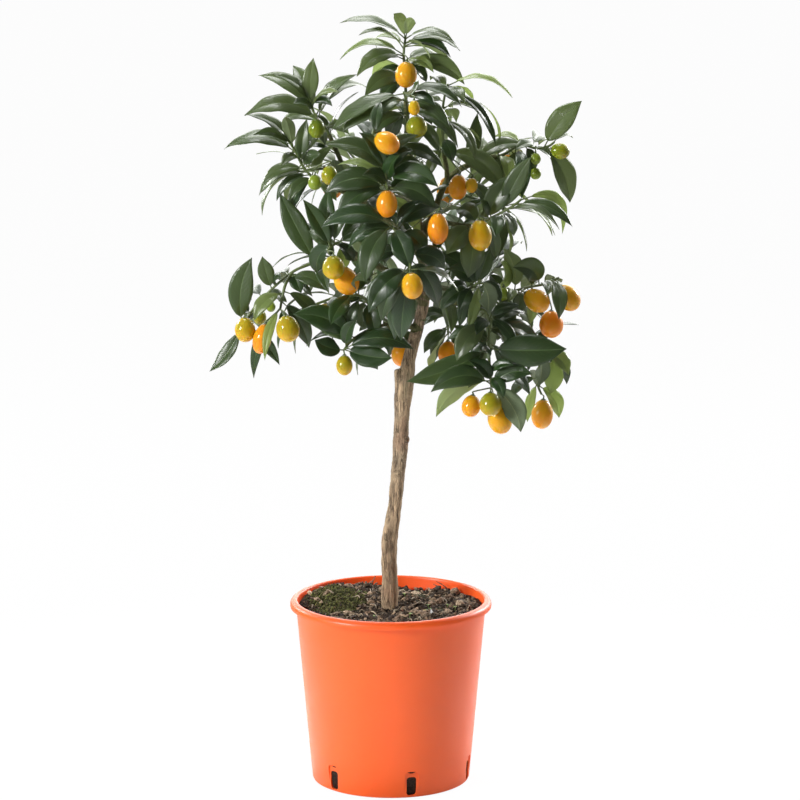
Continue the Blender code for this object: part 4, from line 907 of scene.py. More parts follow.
# Each spray: the limb or spray it grows on, the tone of its plain leaves, where a middle tone
# paints a grey sheen on them, its twigs, the small leaves among the others, too thin for the
# solids, and its fruits.
# A twig is its path (x, z, y) and its leaves. A leaf that shows from the front is
# (share of the twig, tip x, tip z, how much nearer the tip is, face[, width or none[, arch]]),
# face from 1, top side to the front, to -1, underside to the front, and arch 1 where the rib
# rises as on most leaves, or less than 0 where it sags. A twig that is mostly out of sight has
# a number in the place of its leaves, which then stand in a spiral.
# A fruit is (x, z, y, width, length, lean of its stalk end in degrees, colour[, how ripe]).
SPRAYS = {
    "spray_crown_top": ("stem", 0.3, (
        (((15.5, 772, -2), (14, 798, -4), (16, 816, -4)), (
            (0.95, 3, 841, 34, -0.8, 13), (1.0, 26, 833, 26, -0.8, 12),
            (0.98, -54, 831, 0, 0.2, None, 0.7), (0.80, -34, 818, 24, 0.2),
            (0.88, -22, 809, -30, 0.3), (0.97, 69, 809, 12, 0.2, 16), (0.90, 74, 801, -14, 0.3),
            (0.90, 42, 793, 30, -0.4, 16), (0.70, -36, 774, 26, 0.45, 22), (0.55, 79, 765, 12, 0.6),
            (0.60, 46, 778, 26, 0.4, 15), (0.72, -54, 792, -28, 0.2), (0.34, -28, 752, 30, 0.7, 20),
            (0.45, -20, 775, -30, -0.4, 20), (0.62, 58, 786, -34, 0.4),
            (0.85, 68, 778, -6, -0.3, 14), (0.28, 44, 744, -40, 0.4))),
    ), (
        (0.86, 64, 794, 4, 0.4, 17), (0.30, -10, 748, 6, 0.6, 18), (0.55, -14, 760, -14, 0.5, 18),
        (0.55, 38, 768, -12, 0.5, 18), (0.65, -24, 784, 6, 0.3, 14)
    ), (
        (16.5, 776, -28, 23, 28, 4, "yellow", 0.80),
    )),
    "spray_upper_front": ("upper_front", 0.16, (
        (((17, 726, -44), (18, 740, -52), (14, 758, -54)), (
            (0.80, -52, 714, 12, 0.5, 24, 0.65), (0.95, -63, 716, -16, 0.3, None, 0.45),
            (0.95, 76, 741, 6, 0.3), (0.55, 72, 697, 8, 0.4, 17), (0.75, 63, 719, 24, 0.4),
            (0.40, -20, 710, 22, 0.8), (1.0, 30, 770, 4, 0.5, 16, -0.8), (0.30, 52, 692, 20, 0.6),
            (0.60, -22, 722, -26, -0.4, 18))),
    ), (
        (0.55, -2, 704, -4, 0.6, 20), (0.80, -12, 730, 12, 0.5, 16), (0.85, 48, 742, 10, 0.4, 15),
        (0.70, 44, 722, -10, 0.5, 18)
    ), (
        (25, 740.5, -80, 12, 16, 0, "yellow", 0.60), (27.6, 720, -64, 22.5, 23.5, 0, "green", 0.36)
    )),
    "spray_upper_left": ("upper_left_top", 0.28, (
        (((-74, 724, 2), (-82, 736, -4), (-86, 746, -6)), (
            (0.80, -141, 775, -6, 0.5), (1.0, -126, 776, 12, 0.4), (0.95, -82, 794, -10, 0.8, 18),
            (0.50, -36, 776, 8, 0.3, 22), (0.62, -25, 762, -14, 0.3), (0.85, -55, 757, 30, 0.4, 14),
            (0.45, -156, 732, 16, 0.5), (0.35, -118, 722, -26, 0.5), (0.22, -44, 712, 14, 0.6),
            (0.08, -92, 692, -10, 0.5, 18), (0.70, -104, 786, -30, 0.6))),
    ), (
        (0.55, -70, 700, 8, 0.7, 18), (0.75, -104, 744, 14, 0.5, 16), (0.90, -62, 742, 10, 0.4, 15)
    ), (
        (-79, 718.5, -16, 17.5, 21.5, 0, "green", 0.14),
    )),
    "spray_left_upper": ("upper_left", 0.2, (
        (((-82, 664, 0), (-94, 678, -4), (-101, 692, -6), (-107, 702, -8)), (
            (1.0, -155, 733, 4, 0.3), (0.95, -147, 711, 22, 0.5), (0.78, -178, 696, 4, 0.35, 26),
            (0.90, -113, 731, 26, -0.7), (0.55, -89, 729, -10, 0.7), (0.60, -117, 676, 40, 0.6),
            (0.42, -138, 657, 10, 0.5), (0.35, -141, 646, -12, 0.4), (0.18, -108, 640, 12, 0.7),
            (0.25, -60, 700, -14, 0.5), (0.15, -58, 640, -10, 0.5), (0.60, -96, 700, -60, 0.3),
            (0.85, -126, 706, -50, 0.3))),
    ), (
        (0.22, -106, 628, 14, 0.5, 16), (0.30, -122, 640, -4, 0.4, 16),
        (0.50, -74, 690, 14, 0.6, 17), (0.70, -84, 706, -18, 0.5, 18)
    ), (
        (-81, 659, -22, 15, 17, 0, "bud"), (-65.5, 668, -30, 17.5, 21, 0, "green", 0.33)
    )),
    "spray_centre_upper": ("centre_upper", 0.08, (
        (((-4, 656, -82), (-6, 680, -87), (-12, 700, -82), (-19, 717, -90)), (
            (0.36, -71, 701, 12, 0.6), (0.28, -57, 679, -8, 0.4, 14), (0.42, -34, 714, 14, 0.7),
            (0.46, 26, 691, -24, 0.5), (0.30, 51, 655, 18, 0.7, 24), (0.52, 30, 711, -2, 0.7),
            (0.18, -71, 648, 6, 0.7, 26), (0.90, -10, 748, -20, 0.6), (0.16, 48, 632, 4, 0.7, 24),
            (0.22, -42, 630, -20, 0.6), (0.60, 56, 676, -22, 0.5), (0.08, 31, 601, 2, 0.5, 15),
            (0.70, 8, 668, -30, 0.6, 24), (0.34, 40, 668, -6, 0.6, 24),
            (0.12, -58, 620, -6, 0.6, 22))),
    ), (
        (0.50, -40, 724, -12, 0.5, 18), (0.24, 10, 690, 10, 0.6, 18), (0.20, -30, 668, 14, 0.6, 18),
        (0.40, 14, 704, -20, 0.6, 18), (0.30, -14, 690, 16, 0.6, 16), (0.15, 22, 650, -10, 0.6, 20)
    ), (
        (-4, 703, -104, 23, 28, -58, "orange", 0.84), (-4, 637, -104, 22, 29, 2, "orange", 0.92)
    )),
    "spray_centre": ("centre", 0.0, (
        (((10, 608, -96), (0, 613, -106)), (
            (1.0, -27, 551, 24, 0.7, 27), (0.9, 21, 566, 20, 0.8, 25), (1.0, -75, 611, 6, 0.6, 24),
            (0.8, -32, 645, 4, 0.5), (0.5, -46, 588, -22, 0.5), (0.7, 36, 640, -10, 0.6),
            (0.4, 37, 583, -10, 0.6, 22), (0.6, 58, 628, -34, 0.6, 24))),
        (((13, 604, -90), (19, 586, -110), (21, 570, -126), (21, 564, -130)), (
            (1.0, 73, 541, -2, -0.2, 26), (0.97, -24, 518, 20, 0.8, 26), (0.88, -10, 509, -4, 0.6),
            (0.80, 4, 489, -20, 0.7, 25), (0.97, 11, 488, -26, 0.8, 26),
            (0.60, 58, 566, -22, 0.7, 24), (0.50, -38, 560, -24, 0.6, 22),
            (0.70, 50, 524, -26, 0.6))),
    ), (
        (0.5, -6, 572, -12, 0.6, 20), (0.7, 14, 584, 12, 0.6, 18), (0.3, 4, 580, 16, 0.6, 16)
    ), (
        (23, 548, -142, 22.5, 28, -8, "yellow", 0.74), (8, 537, -96, 21, 26, 10, "orange"),
        (50.7, 610, -92, 22, 33.5, 0, "orange", 0.95)
    )),
    "spray_left_front": ("left_front", 0.05, (
        (((-57, 595, -56), (-62, 592, -62), (-68, 586, -66)), (
            (0.20, -49, 566, -12, 0.4, 16), (0.8, -94, 642, 8, 0.6), (0.6, -40, 640, -4, 0.5),
            (0.5, -10, 590, -14, 0.5), (0.7, -79, 561, -30, 0.7, 22), (0.25, -14, 620, -26, 0.5),
            (0.75, -66, 655, -30, 0.5))),
    ), (
        (0.40, -78, 584, 14, 0.6, 16), (0.55, -40, 574, -16, 0.5, 16), (0.80, -88, 608, -8, 0.6, 18)
    ), (
        (-61.5, 568, -76, 23.5, 25.7, 0, "yellow", 0.50),
        (-48, 553.5, -56, 26, 32, -32, "orange", 0.86)
    )),
    "spray_left_mid": ("left_mid", 0.0, (
        (((-28, 534, -50), (-36, 538, -56), (-44, 536, -60)), (
            (0.3, -66, 513, 12, 0.5), (0.2, -16, 492, 14, 0.7, 20),
            (0.9, -65, 505, 30, 0.7, 20, 0.5), (0.66, -20, 566, -26, 0.6, 22),
            (0.5, -44, 492, 2, 0.7))),
    ), (
        (0.30, -30, 500, -14, 0.6, 18), (0.60, -56, 540, 12, 0.5, 16), (0.75, -24, 552, 10, 0.6, 15)
    ), ()),
    "spray_left_low": ("left_low", 0.0, (
        (((-46, 484, -58), (-51, 477, -64)), (
            (1.0, 25, 478, 4, 0.5, 24), (0.9, 2, 469, 14, 0.7, 26, -0.3),
            (0.7, -36, 512, 16, 0.7, 15), (0.95, -82, 489, 10, 0.6, 22, -0.5),
            (0.1, -106, 517, 16, 0.9, 28), (0.6, -62, 536, -10, 0.6), (0.8, -14, 456, -10, 0.6, 20),
            (0.5, -54, 500, -46, 0.3), (0.3, -84, 514, -30, 0.4))),
    ), (
        (0.40, -70, 500, 8, 0.5, 16),
    ), (
        (-50, 461, -68, 17.5, 22, 0, "yellow", 0.50),
    )),
    "spray_left_far": ("left", 0.05, (
        (((-88, 571, -9), (-104, 564, -12), (-124, 548, -12), (-147, 524, -10), (-164, 499, -8)), (
            (0.02, -119, 649, -4, 0.9, 25, -0.5), (0.50, -138, 580, 10, 0.9, 18),
            (0.93, -149, 579, 8, 0.9, 27), (1.0, -196, 454, 4, 0.6, 17, -0.4),
            (0.98, -120, 461, -22, 0.6, 15), (0.62, -150, 532, -60, 0.3),
            (0.30, -112, 548, -58, 0.3), (0.85, -140, 500, -58, 0.3), (0.40, -84, 536, -30, 0.5))),
        (((-106, 562, -12), (-113, 550, -22), (-117, 534, -26), (-119, 522, -28)), (
            (0.60, -147, 510, 12, 0.5, 18), (1.0, -136, 466, 18, 0.5, 11),
            (0.95, -148, 446, 8, 0.5, 14), (0.55, -76, 506, -14, 0.5), (0.8, -88, 480, -20, 0.6),
            (0.12, -68, 542, 8, 0.5, 18), (1.0, -110, 492, 24, 0.8, 14))),
    ), (
        (0.25, -96, 540, 12, 0.6, 16), (0.45, -118, 556, 12, 0.6, 15),
        (0.60, -112, 530, -12, 0.6, 16), (0.80, -166, 520, 6, 0.6, 15),
        (0.90, -130, 500, -20, 0.5, 16)
    ), (
        (-157, 500, -30, 22, 27, 0, "yellow", 0.58), (-138.5, 490, -36, 20, 33, 14, "orange", 0.94),
        (-111, 501, -50, 25, 29, -10, "yellow", 0.55), (-141, 514, -6, 14, 17, 0, "green", 0.30),
        (-129, 524, -8, 10, 12, 0, "bud")
    )),
    "spray_right_upper_front": ("right_upper_front", 0.29, (
        (((56, 706, -24), (55, 730, -28), (57, 750, -30), (61, 766, -32)), (
            (1.0, 130, 751, -6, 0.15, 18), (0.66, 98, 732, 0, 0.2, 16),
            (0.50, 90, 684, 8, 0.2, 17, 1.5), (0.92, 79, 745, 10, 0.3, 14),
            (0.95, 89, 746, -18, -0.2, 12), (0.40, 20, 694, -16, 0.5), (0.75, 34, 738, -24, 0.5),
            (0.05, 122, 648, 6, 0.7, 24), (0.60, 70, 724, -50, 0.3), (0.85, 42, 770, -44, 0.3),
            (0.12, 40, 664, 6, 0.6), (0.30, 96, 704, -34, 0.1, 14))),
    ), (
        (0.93, 112, 700, -12, 0.3, 14), (0.25, 66, 682, 14, 0.6, 16)
    ), (
        (72, 655, -34, 20, 27, 6, "orange"), (86.5, 657, -44, 13, 16, 0, "yellow", 0.64)
    )),
    "spray_right_top": ("right_upper", 0.26, (
        (((124, 692, 4), (139, 701, 0), (155, 697, 0), (168, 699, -2), (175, 704, -2)), (
            (0.55, 90, 682, 22, 0.4, 18), (0.45, 110, 709, -6, 0.3, 14),
            (0.70, 133, 695, 6, 0.2, 16), (0.82, 204, 748, 2, 0.7, 26), (1.0, 195, 708, 8, 0.1, 10),
            (0.84, 192, 638, -2, 0.6, 27, 0.6), (0.35, 125, 651, 6, 0.6, 20),
            (0.05, 125, 661, 16, 0.4, 16), (0.02, 95, 746, 10, 0.2, 11),
            (0.25, 138, 664, 8, 0.4, 14), (0.60, 158, 700, -60, 0.3), (0.30, 130, 676, -50, 0.3))),
    ), (
        (0.35, 140, 642, 12, 0.6, 17), (0.50, 150, 670, 10, 0.5, 15),
        (0.15, 112, 664, -12, 0.6, 18), (0.60, 176, 672, 6, 0.4, 12)
    ), (
        (181, 694, -4, 17, 21, -78, "green", 0.28), (122, 678, 18, 20, 26, 8, "orange"),
        (155, 684.5, -12, 11, 13, 0, "bud"), (155, 668.5, -10, 12, 13, 0, "bud")
    )),
    "spray_right_middle": ("right_middle", 0.14, (
        (((96, 616, -44), (112, 624, -50), (130, 634, -54), (140, 642, -54)), (
            (0.30, 131, 668, 4, 0.8, 25), (0.62, 150, 688, 8, 0.7, 22),
            (0.85, 195, 612, 2, 0.6, 16, 0.8), (0.70, 181, 609, 16, 0.35, 12),
            (1.0, 184, 604, -20, 0.7, 13, 2.0), (0.05, 83, 556, 12, 0.8, 27),
            (0.02, 60, 582, 14, 0.7, 25), (0.40, 80, 660, -16, 0.5), (0.20, 112, 576, -20, 0.6),
            (0.12, 70, 630, -14, 0.6, 22))),
    ), (
        (0.50, 112, 600, 14, 0.6, 16), (0.60, 132, 602, -14, 0.5, 17), (0.25, 96, 640, 12, 0.6, 16),
        (0.10, 70, 604, 12, 0.6, 16)
    ), (
        (96, 603, -66, 24.5, 33, -3, "yellow", 0.61),
    )),
    "spray_right_node": ("right_spur", 0.0, (
        (((84, 544, -40), (92, 550, -46), (98, 553, -48)), (
            (0.8, 107, 589, 4, 0.8, 18), (1.0, 105, 518, 24, -0.6, 24), (0.4, 54, 521, 6, 0.6, 17),
            (0.6, 60, 566, 2, 0.7, 20), (0.9, 84, 500, -8, 0.5, 12), (0.45, 48, 584, -8, 0.6, 22),
            (0.5, 76, 592, -20, 0.6), (0.3, 62, 540, 24, 0.5), (0.2, 74, 503, -14, 0.6))),
    ), (
        (0.70, 84, 574, 10, 0.6, 16), (0.50, 74, 520, 12, 0.6, 16), (0.80, 118, 530, -8, 0.5, 16)
    ), ()),
    "spray_right": ("right", 0.16, (
        (((106, 538, -4), (128, 541, -8), (146, 546, -10), (166, 550, -10), (181, 557, -10)), (
            (0.45, 121, 589, 8, -0.6, 22), (0.75, 131, 568, 26, 0.9, 26),
            (0.30, 118, 575, 20, 0.5, 20), (0.78, 168, 538, 4, 0.7, 12),
            (0.92, 181, 511, 12, 0.8, 17), (0.42, 126, 529, 34, 0.5), (0.36, 115, 488, 14, 0.8, 27),
            (0.60, 150, 506, -22, 0.6), (0.95, 168, 536, -56, 0.3), (0.70, 140, 540, -58, 0.3),
            (0.20, 150, 492, -34, 0.5), (0.15, 104, 500, -22, 0.5))),
    ), (
        (0.50, 136, 516, 14, 0.6, 16), (0.65, 148, 574, 6, 0.5, 15), (0.25, 106, 560, -10, 0.6, 16),
        (0.85, 184, 536, -12, 0.5, 14)
    ), (
        (157, 532, -30, 24, 30, -56, "yellow", 0.80), (191, 535, -14, 24, 31, -34, "orange", 0.76),
        (173, 506, 2, 26, 30, 0, "orange", 1.00), (121, 538, -30, 13, 15, 0, "bud")
    )),
    "spray_right_stem": ("right_low", 0.0, (
        (((101, 521, -48), (106, 510, -52), (106, 492, -56), (106, 475, -58)), (
            (0.93, 190, 479, 6, 0.9, 36, -0.1), (0.45, 71, 465, 20, 0.6, 25),
            (0.90, 17, 443, 14, 0.7, 28, -0.3), (0.20, 71, 471, 2, 0.6, 16),
            (0.65, 146, 516, -44, 0.4), (0.30, 134, 476, -16, 0.5), (0.75, 60, 488, -22, 0.5),
            (0.55, 160, 476, -30, 0.5), (0.80, 126, 444, -18, 0.5), (0.35, 140, 526, -14, 0.5))),
    ), (
        (0.60, 124, 486, -14, 0.5, 18), (0.40, 92, 494, 14, 0.6, 15), (0.75, 88, 456, 10, 0.6, 16)
    ), ()),
    "spray_right_low": ("spray_right_stem", 0.0, (
        (((107, 456, -60), (108, 444, -62), (109, 436, -63)), (
            (0.90, 43, 431, 10, 0.8, 25), (0.80, 49, 404, -22, -0.5, 24),
            (0.85, 84, 466, 12, 0.7, 17), (1.0, 154, 451, 8, 0.8, 20),
            (0.60, 133, 461, 14, 0.6, 12), (0.95, 141, 387, -6, -0.6, 28),
            (0.40, 60, 456, -12, 0.6), (0.50, 150, 428, -26, 0.5))),
    ), (
        (0.20, 96, 476, 4, 0.6, 16), (0.70, 122, 424, 14, 0.6, 15), (0.50, 84, 436, -10, 0.6, 16)
    ), (
        (108, 418, -78, 23.5, 25.6, 0, "green", 0.47),
        (118, 402, -56, 26, 33.6, -14, "orange", 0.76), (87, 416, -64, 20, 24, 10, "orange", 0.84)
    )),
    "spray_right_hanging": ("right_far", 0.0, (
        (((160, 478, 26), (168, 473, 22), (176, 471, 18)), (
            (0.6, 192, 450, 10, 0.5, 20), (1.0, 172, 429, 4, 0.6, 22),
            (0.4, 160, 438, 20, -0.5, 22), (0.9, 176, 470, -54, 0.3), (0.3, 170, 504, -30, 0.5))),
        (((164, 475, 24), (160, 456, 18), (159, 440, 14), (163, 429, 10)), (
            (0.70, 148, 398, -6, 0.4, 12), (0.78, 182, 403, -10, 0.5, 19),
            (0.5, 160, 434, -52, 0.3), (0.6, 130, 424, -10, 0.6), (0.30, 124, 452, -18, 0.5))),
    ), (
        (0.50, 182, 452, -8, 0.5, 15), (0.80, 190, 440, -16, 0.5, 15)
    ), (
        (164, 407, 2, 23.5, 32.5, 4, "orange", 0.84),
    )),
    "spray_back_upper_left": ("back_upper_left", 0.34, (
        (((-22, 668, 84), (-40, 688, 106), (-54, 704, 116)), 7),
        (((-30, 678, 94), (-64, 676, 108), (-96, 672, 112)), 7),
        (((-26, 672, 88), (-18, 704, 118), (-4, 736, 124)), 7),
    ), (), (
        (-62, 656, 112, 22, 28, 0, "orange"),
    )),
    "spray_back_upper_right": ("back_upper_right", 0.38, (
        (((74, 640, 84), (90, 652, 106), (97, 666, 116)), 7),
        (((80, 646, 92), (104, 638, 106), (124, 630, 104)), 7),
        (((76, 644, 88), (64, 670, 122), (52, 700, 132)), 7),
    ), (), (
        (60, 652, 128, 22, 29, 0, "orange"),
    )),
    "spray_back_left": ("back_left", 0.0, (
        (((-20, 550, 84), (-46, 566, 110), (-72, 578, 122)), 7),
        (((-26, 554, 90), (-60, 536, 112), (-92, 524, 106)), 7),
        (((-24, 553, 88), (-16, 576, 130), (-6, 608, 150)), 7),
        (((-20, 549, 82), (-14, 518, 74), (6, 502, 62), (12, 496, 52)), (
            (0.35, -46, 530, -16, 0.4), (0.60, -34, 498, -10, 0.4), (0.85, 32, 516, -24, 0.4),
            (0.45, -6, 494, -30, 0.4))),
    ), (
        (0.50, -2, 470, -6, 0.5, 16), (0.75, -16, 476, 4, 0.5, 16), (0.90, 24, 476, 8, 0.5, 15)
    ), (
        (11.6, 473, 44, 22, 27, 0, "orange"), (-70, 516, 118, 21, 27, 0, "yellow")
    )),
    "spray_back_right": ("back_right", 0.0, (
        (((80, 546, 80), (100, 560, 104), (114, 574, 114)), 7),
        (((86, 549, 88), (114, 530, 108), (134, 516, 102)), 7),
        (((84, 548, 86), (68, 572, 128), (46, 600, 154)), 7),
        (((80, 544, 78), (66, 520, 74), (62, 502, 52), (62, 495, 42)), (
            (0.98, 42, 456, 4, -0.3, 18), (0.40, 98, 516, -14, 0.4), (0.62, 30, 514, -16, 0.4),
            (0.75, 92, 480, -14, 0.4))),
    ), (
        (0.85, 36, 474, 6, 0.4, 15), (0.70, 46, 462, -8, 0.4, 14), (0.50, 32, 502, -8, 0.4, 14),
        (0.90, 80, 462, 6, 0.5, 15)
    ), (
        (62, 474, 30, 22, 27, 0, "orange", 0.98), (114, 508, 112, 22, 28, 0, "orange")
    )),
}

# Tones of the leaves that aren't the crown's plain dark green, by tip x, z: from 0, the
# darkest, through a greyer green at 0.35 that is a painted sheen, to 1, a young yellow-green leaf
LEAF_TONES = {
    (-22, 809): 0.55, (46, 778): 0.75, (-20, 775): 0.85, (-54, 792): 0.60, (-22, 722): 0.60,
    (-63, 716): 0.25, (-55, 757): 0.60, (-57, 679): 0.75, (26, 691): 0.75, (-49, 566): 0.85,
    (130, 751): 0.85, (89, 746): 0.95, (95, 746): 0.90, (56, 664): 0.70, (125, 661): 0.80,
    (138, 664): 0.75, (184, 604): 0.85, (181, 609): 0.30, (84, 500): 0.65, (118, 575): 0.70,
    (126, 529): 0.60, (150, 506): 0.60, (49, 404): 0.70, (172, 429): 0.75, (148, 398): 0.75,
    (182, 403): 0.80, (192, 450): 0.60, (-147, 510): 0.60, (-136, 466): 0.85, (42, 456): 0.75,
    (3, 841): 0.45, (26, 833): 0.45, (42, 793): 0.45, (68, 778): 0.40, (71, 465): 0.35,
    (8, 668): 0.90, (110, 709): 0.80, (31, 601): 0.70,
}
# How far a leaf's tone may stray up from that of its kind, mostly less
TONE_STRAY = 0.15
SMALL_TONE_STRAY = 0.2
LIMB_TONE_STRAY = 0.3
# Set buds have a colour of their own, past the lightest leaf's
BUD_TONE = 1.5
# How many leaves stand in a spiral on each limb inside the crown, and on the stem
LIMB_LEAVES = {
    "back_upper_left": 9, "back_upper_right": 6, "back_left": 9, "back_right": 9, "stem": 16,
    "upper_left": 6, "upper_left_top": 3, "left": 6, "right_upper": 4, "right": 4, "right_far": 6,
    "centre": 3, "centre_upper": 3, "left_low": 4, "right_low": 3, "right_middle": 3,
}
LIMB_LEAF_SHARES = (0.34, 0.96)
STEM_LEAF_SHARES = (0.74, 0.98)
LIMB_LEAF_LENGTHS = (0.042, 0.066)
LIMB_LEAF_LEAN_DEG = (46, 72)
WOODY = {"stem": STEM, **LIMBS}
GREEN_VALUES = ("along", "side", "under", "tone", "wood", "seed")


def part_way(ends, share):
    return ends[0] + (ends[1] - ends[0]) * share


def along_path(points, share):
    """The place at a share of a path's length, and the path's direction there."""
    runs = [(b - a).length for a, b in zip(points, points[1:])]
    left = min(LAST_ROOT, share) * sum(runs)
    for a, b, run in zip(points, points[1:], runs):
        if left <= run:
            break
        left -= run
    return a + (b - a) * (left / run), (b - a).normalized()


def crown_layout():
    """The twig paths of every spray, each seated on the stem, a limb or another spray."""
    seats = {}
    for name, places in WOODY.items():
        before, end = (seen(*place[:3]) for place in places[-2:])
        seats[name] = (end, (end - before).normalized())
    layout = {}
    for name, (seat, _, twigs, _, _) in SPRAYS.items():
        place, heading = seats[seat]
        layout[name] = [[seen(*spot) for spot in path] for path, _ in twigs]
        layout[name][0][:0] = [place + heading * STEM_GAP, place + heading * 4 * MM]
        before, end = layout[name][0][-2:]
        seats[name] = (end, (end - before).normalized())
    return layout


def seen_tips(base, leaf):
    """The places that a leaf which shows in front may end at, the likeliest first."""
    _, x, z, nearer, *_ = leaf
    depth = base.y / MM - nearer
    for aside, rise in TIP_TRIES:
        for step in (0, -9, 9, -18, 18, -28, 28, -40, 40, -54, 54):
            yield seen(x + aside, z + rise, depth + step)


def spiral_tips(base, heading, turn, lean, length):
    """The places that a leaf in a spiral round its twig may end at."""
    across = heading.cross(Vector((0.0, 0.0, 1.0))).normalized()
    over = across.cross(heading)
    for shorter in (1.0, 0.86, 0.74):
        for tilt in (0, 14, -14):
            for swing in (0, 12, -12, 24, -24, 38, -38, 54, -54):
                angle = math.radians(turn + swing)
                open_by = math.radians(lean + tilt)
                out = across * math.cos(angle) + over * math.sin(angle)
                way = heading * math.cos(open_by) + out * math.sin(open_by)
                yield base + (way + Vector((0.0, 0.0, -DROOP))).normalized() * (length * shorter)


def leaf_shape(leaf):
    """A leaf's width or none, its face and its arch."""
    width = leaf[5] * MM if len(leaf) > 5 and leaf[5] else None
    return width, leaf[4], leaf[6] if len(leaf) > 6 else 1.0


def leaf_plans(twigs, paths):
    """Every leaf of a spray: base, heading, tips to try, width, face, arch and tone, or none."""
    rng = random.Random(len(twigs[0][0]) + round(abs(paths[0][0].x) * 1e4))
    for (_, leaves), points in zip(twigs, paths):
        if isinstance(leaves, int):
            turn = rng.uniform(0, 360)
            for index in range(leaves):
                up = index / (leaves - 1)
                base, heading = along_path(points, part_way(SPIRAL_SHARES, up))
                turn += SPIRAL_TURN_DEG
                lean = part_way(SPIRAL_LEAN_DEG, up)
                lean += rng.uniform(-SPIRAL_STRAY_DEG, SPIRAL_STRAY_DEG)
                tips = spiral_tips(base, heading, turn, lean, rng.uniform(*SPIRAL_LENGTHS))
                yield base, heading, tips, None, None, 1.0, None
        else:
            for leaf in leaves:
                base, heading = along_path(points, leaf[0])
                tone = LEAF_TONES.get(leaf[1:3])
                yield base, heading, seen_tips(base, leaf), *leaf_shape(leaf), tone


def leaf_hints(base, heading, face, arch):
    """Where a leaf's top side looks, turned to the front or off it by its face, and its arch."""
    skyward = (Vector((0.0, 0.0, 0.85)) + heading * 0.35).normalized()
    if face is None:
        return skyward, skyward
    to_eye = (EYE - base).normalized()
    return skyward * (1 - abs(face)) + to_eye * face, skyward * arch + to_eye * (0.3 * face)


def blade_half(share):
    """Half the blade's width at a share of its own length, as a share of its width."""
    fullness = math.sin(math.pi * share ** 0.92) ** (0.72 + 0.36 * share * share)
    return 0.5 * fullness * (1.0 - 0.06 * share) + 0.012 * (1 - share)


def add_stalk(green, base, chord, arch, tone, seed):
    """The leaf's own short stalk, from its twig into the foot of its blade."""
    stalk = []
    for place, _ in LEAF_STALK:
        share = place * LEAF_STALK_SHARE
        stalk.append(base + chord * share + arch * (4 * share * (1 - share)))
    radii = [LEAF_STALK_RADIUS * size for _, size in LEAF_STALK]
    green.add(*round_tube(stalk, radii, 6), wood=0.35, tone=tone, seed=seed)


def kept_inside(points):
    """The points, moved together so that none leaves the box of the solids."""
    low, high = CAD_BOX
    shift = Vector()
    for axis in range(3):
        reach = [place[axis] for place in points]
        shift[axis] = max(0.0, low[axis] - min(reach)) + min(0.0, high[axis] - max(reach))
    return [place + shift for place in points]


def blade_faces():
    """The faces of a blade's upper and lower sheet, and those that join them round the edge."""
    lines = len(BLADE_LINES)
    lower = (BLADE_STEPS + 1) * lines
    top, edge = [], []
    for row in range(BLADE_STEPS):
        first, last = row * lines, (row + 1) * lines - 1
        top += [(a, a + 1, a + 1 + lines, a + lines) for a in range(first, last)]
        edge.append((first, first + lines, first + lines + lower, first + lower))
        edge.append((last + lower, last + lines + lower, last + lines, last))
    below = [(a + lower, d + lower, c + lower, b + lower) for a, b, c, d in top]
    edge += [(a + lower, a + 1 + lower, a + 1, a) for a in range(lines - 1)]
    edge += [(a, a + 1, a + 1 + lower, a + lower) for a in range(lower - lines, lower - 1)]
    return top + below + edge


BLADE_FACES = blade_faces()


def add_leaf(green, base, tip, width, hints, tone, rng):
    """A leaf on its stalk: two thin sheets that meet at the edge, folded along a sunk rib."""
    chord = tip - base
    length = chord.length
    ahead = chord / length
    facing, skyward = hints
    arch = (skyward - ahead * skyward.dot(ahead)) * BLADE_ARCH
    wave, phase = rng.uniform(*BLADE_WAVE_DEPTHS), (rng.uniform(0, 9), rng.uniform(0, 9))
    waves = rng.uniform(*BLADE_WAVES)
    fold = rng.uniform(*BLADE_FOLDS)
    twist = rng.uniform(*BLADE_TWISTS)
    seed = rng.random()
    add_stalk(green, base, chord, arch * length, tone, seed)
    top, lower, along, aside = [], [], [], []
    for row in range(BLADE_STEPS + 1):
        share = row / BLADE_STEPS
        on_rib = part_way((LEAF_STALK_SHARE, 1.0), share)
        rib = base + chord * on_rib + arch * (length * 4 * on_rib * (1 - on_rib))
        slope = (ahead + arch * (4 * (1 - 2 * on_rib))).normalized()
        side = slope.cross(facing).normalized()
        turn = twist * (share - 0.4)
        side = side * math.cos(turn) + side.cross(slope) * math.sin(turn)
        lift = side.cross(slope)
        half = blade_half(share) * width
        above, below = [], []
        for line in BLADE_LINES:
            ripple = math.sin(math.tau * waves * share + phase[line > 0]) * wave * width
            rise = (fold * abs(line) - BLADE_CURL * line * line) * half + ripple * line * line
            sunk = RIB_SUNK * math.exp(-(line * 5.5) ** 2)
            place = rib + side * (half * line) + lift * (rise - sunk)
            thin = BLADE_SHEETS_APART * (0.5 if abs(line) < 1.0 else 0.08)
            thin *= 0.2 if row in (0, BLADE_STEPS) else 1
            above.append(place + lift * thin)
            below.append(place - lift * thin)
        row_points = kept_inside(above + below)
        top += row_points[:len(BLADE_LINES)]
        lower += row_points[len(BLADE_LINES):]
        along += [share] * len(BLADE_LINES)
        aside += BLADE_LINES
    green.add(top + lower, BLADE_FACES, along=along * 2, side=aside * 2,
              under=[0.0] * len(top) + [1.0] * len(top), tone=tone, seed=seed)


def fruit_axis(lean):
    return Vector((math.sin(math.radians(lean)), 0.0, math.cos(math.radians(lean))))


def nearest_on(paths, place):
    """The nearest point of a spray's twigs to a place."""
    best = None
    for points in [paths[0][1:]] + paths[1:]:
        for a, b in zip(points, points[1:]):
            run = b - a
            near = a + run * max(0.0, min(LAST_ROOT, (place - a).dot(run) / run.length_squared))
            if best is None or (near - place).length < (best - place).length:
                best = near
    return best


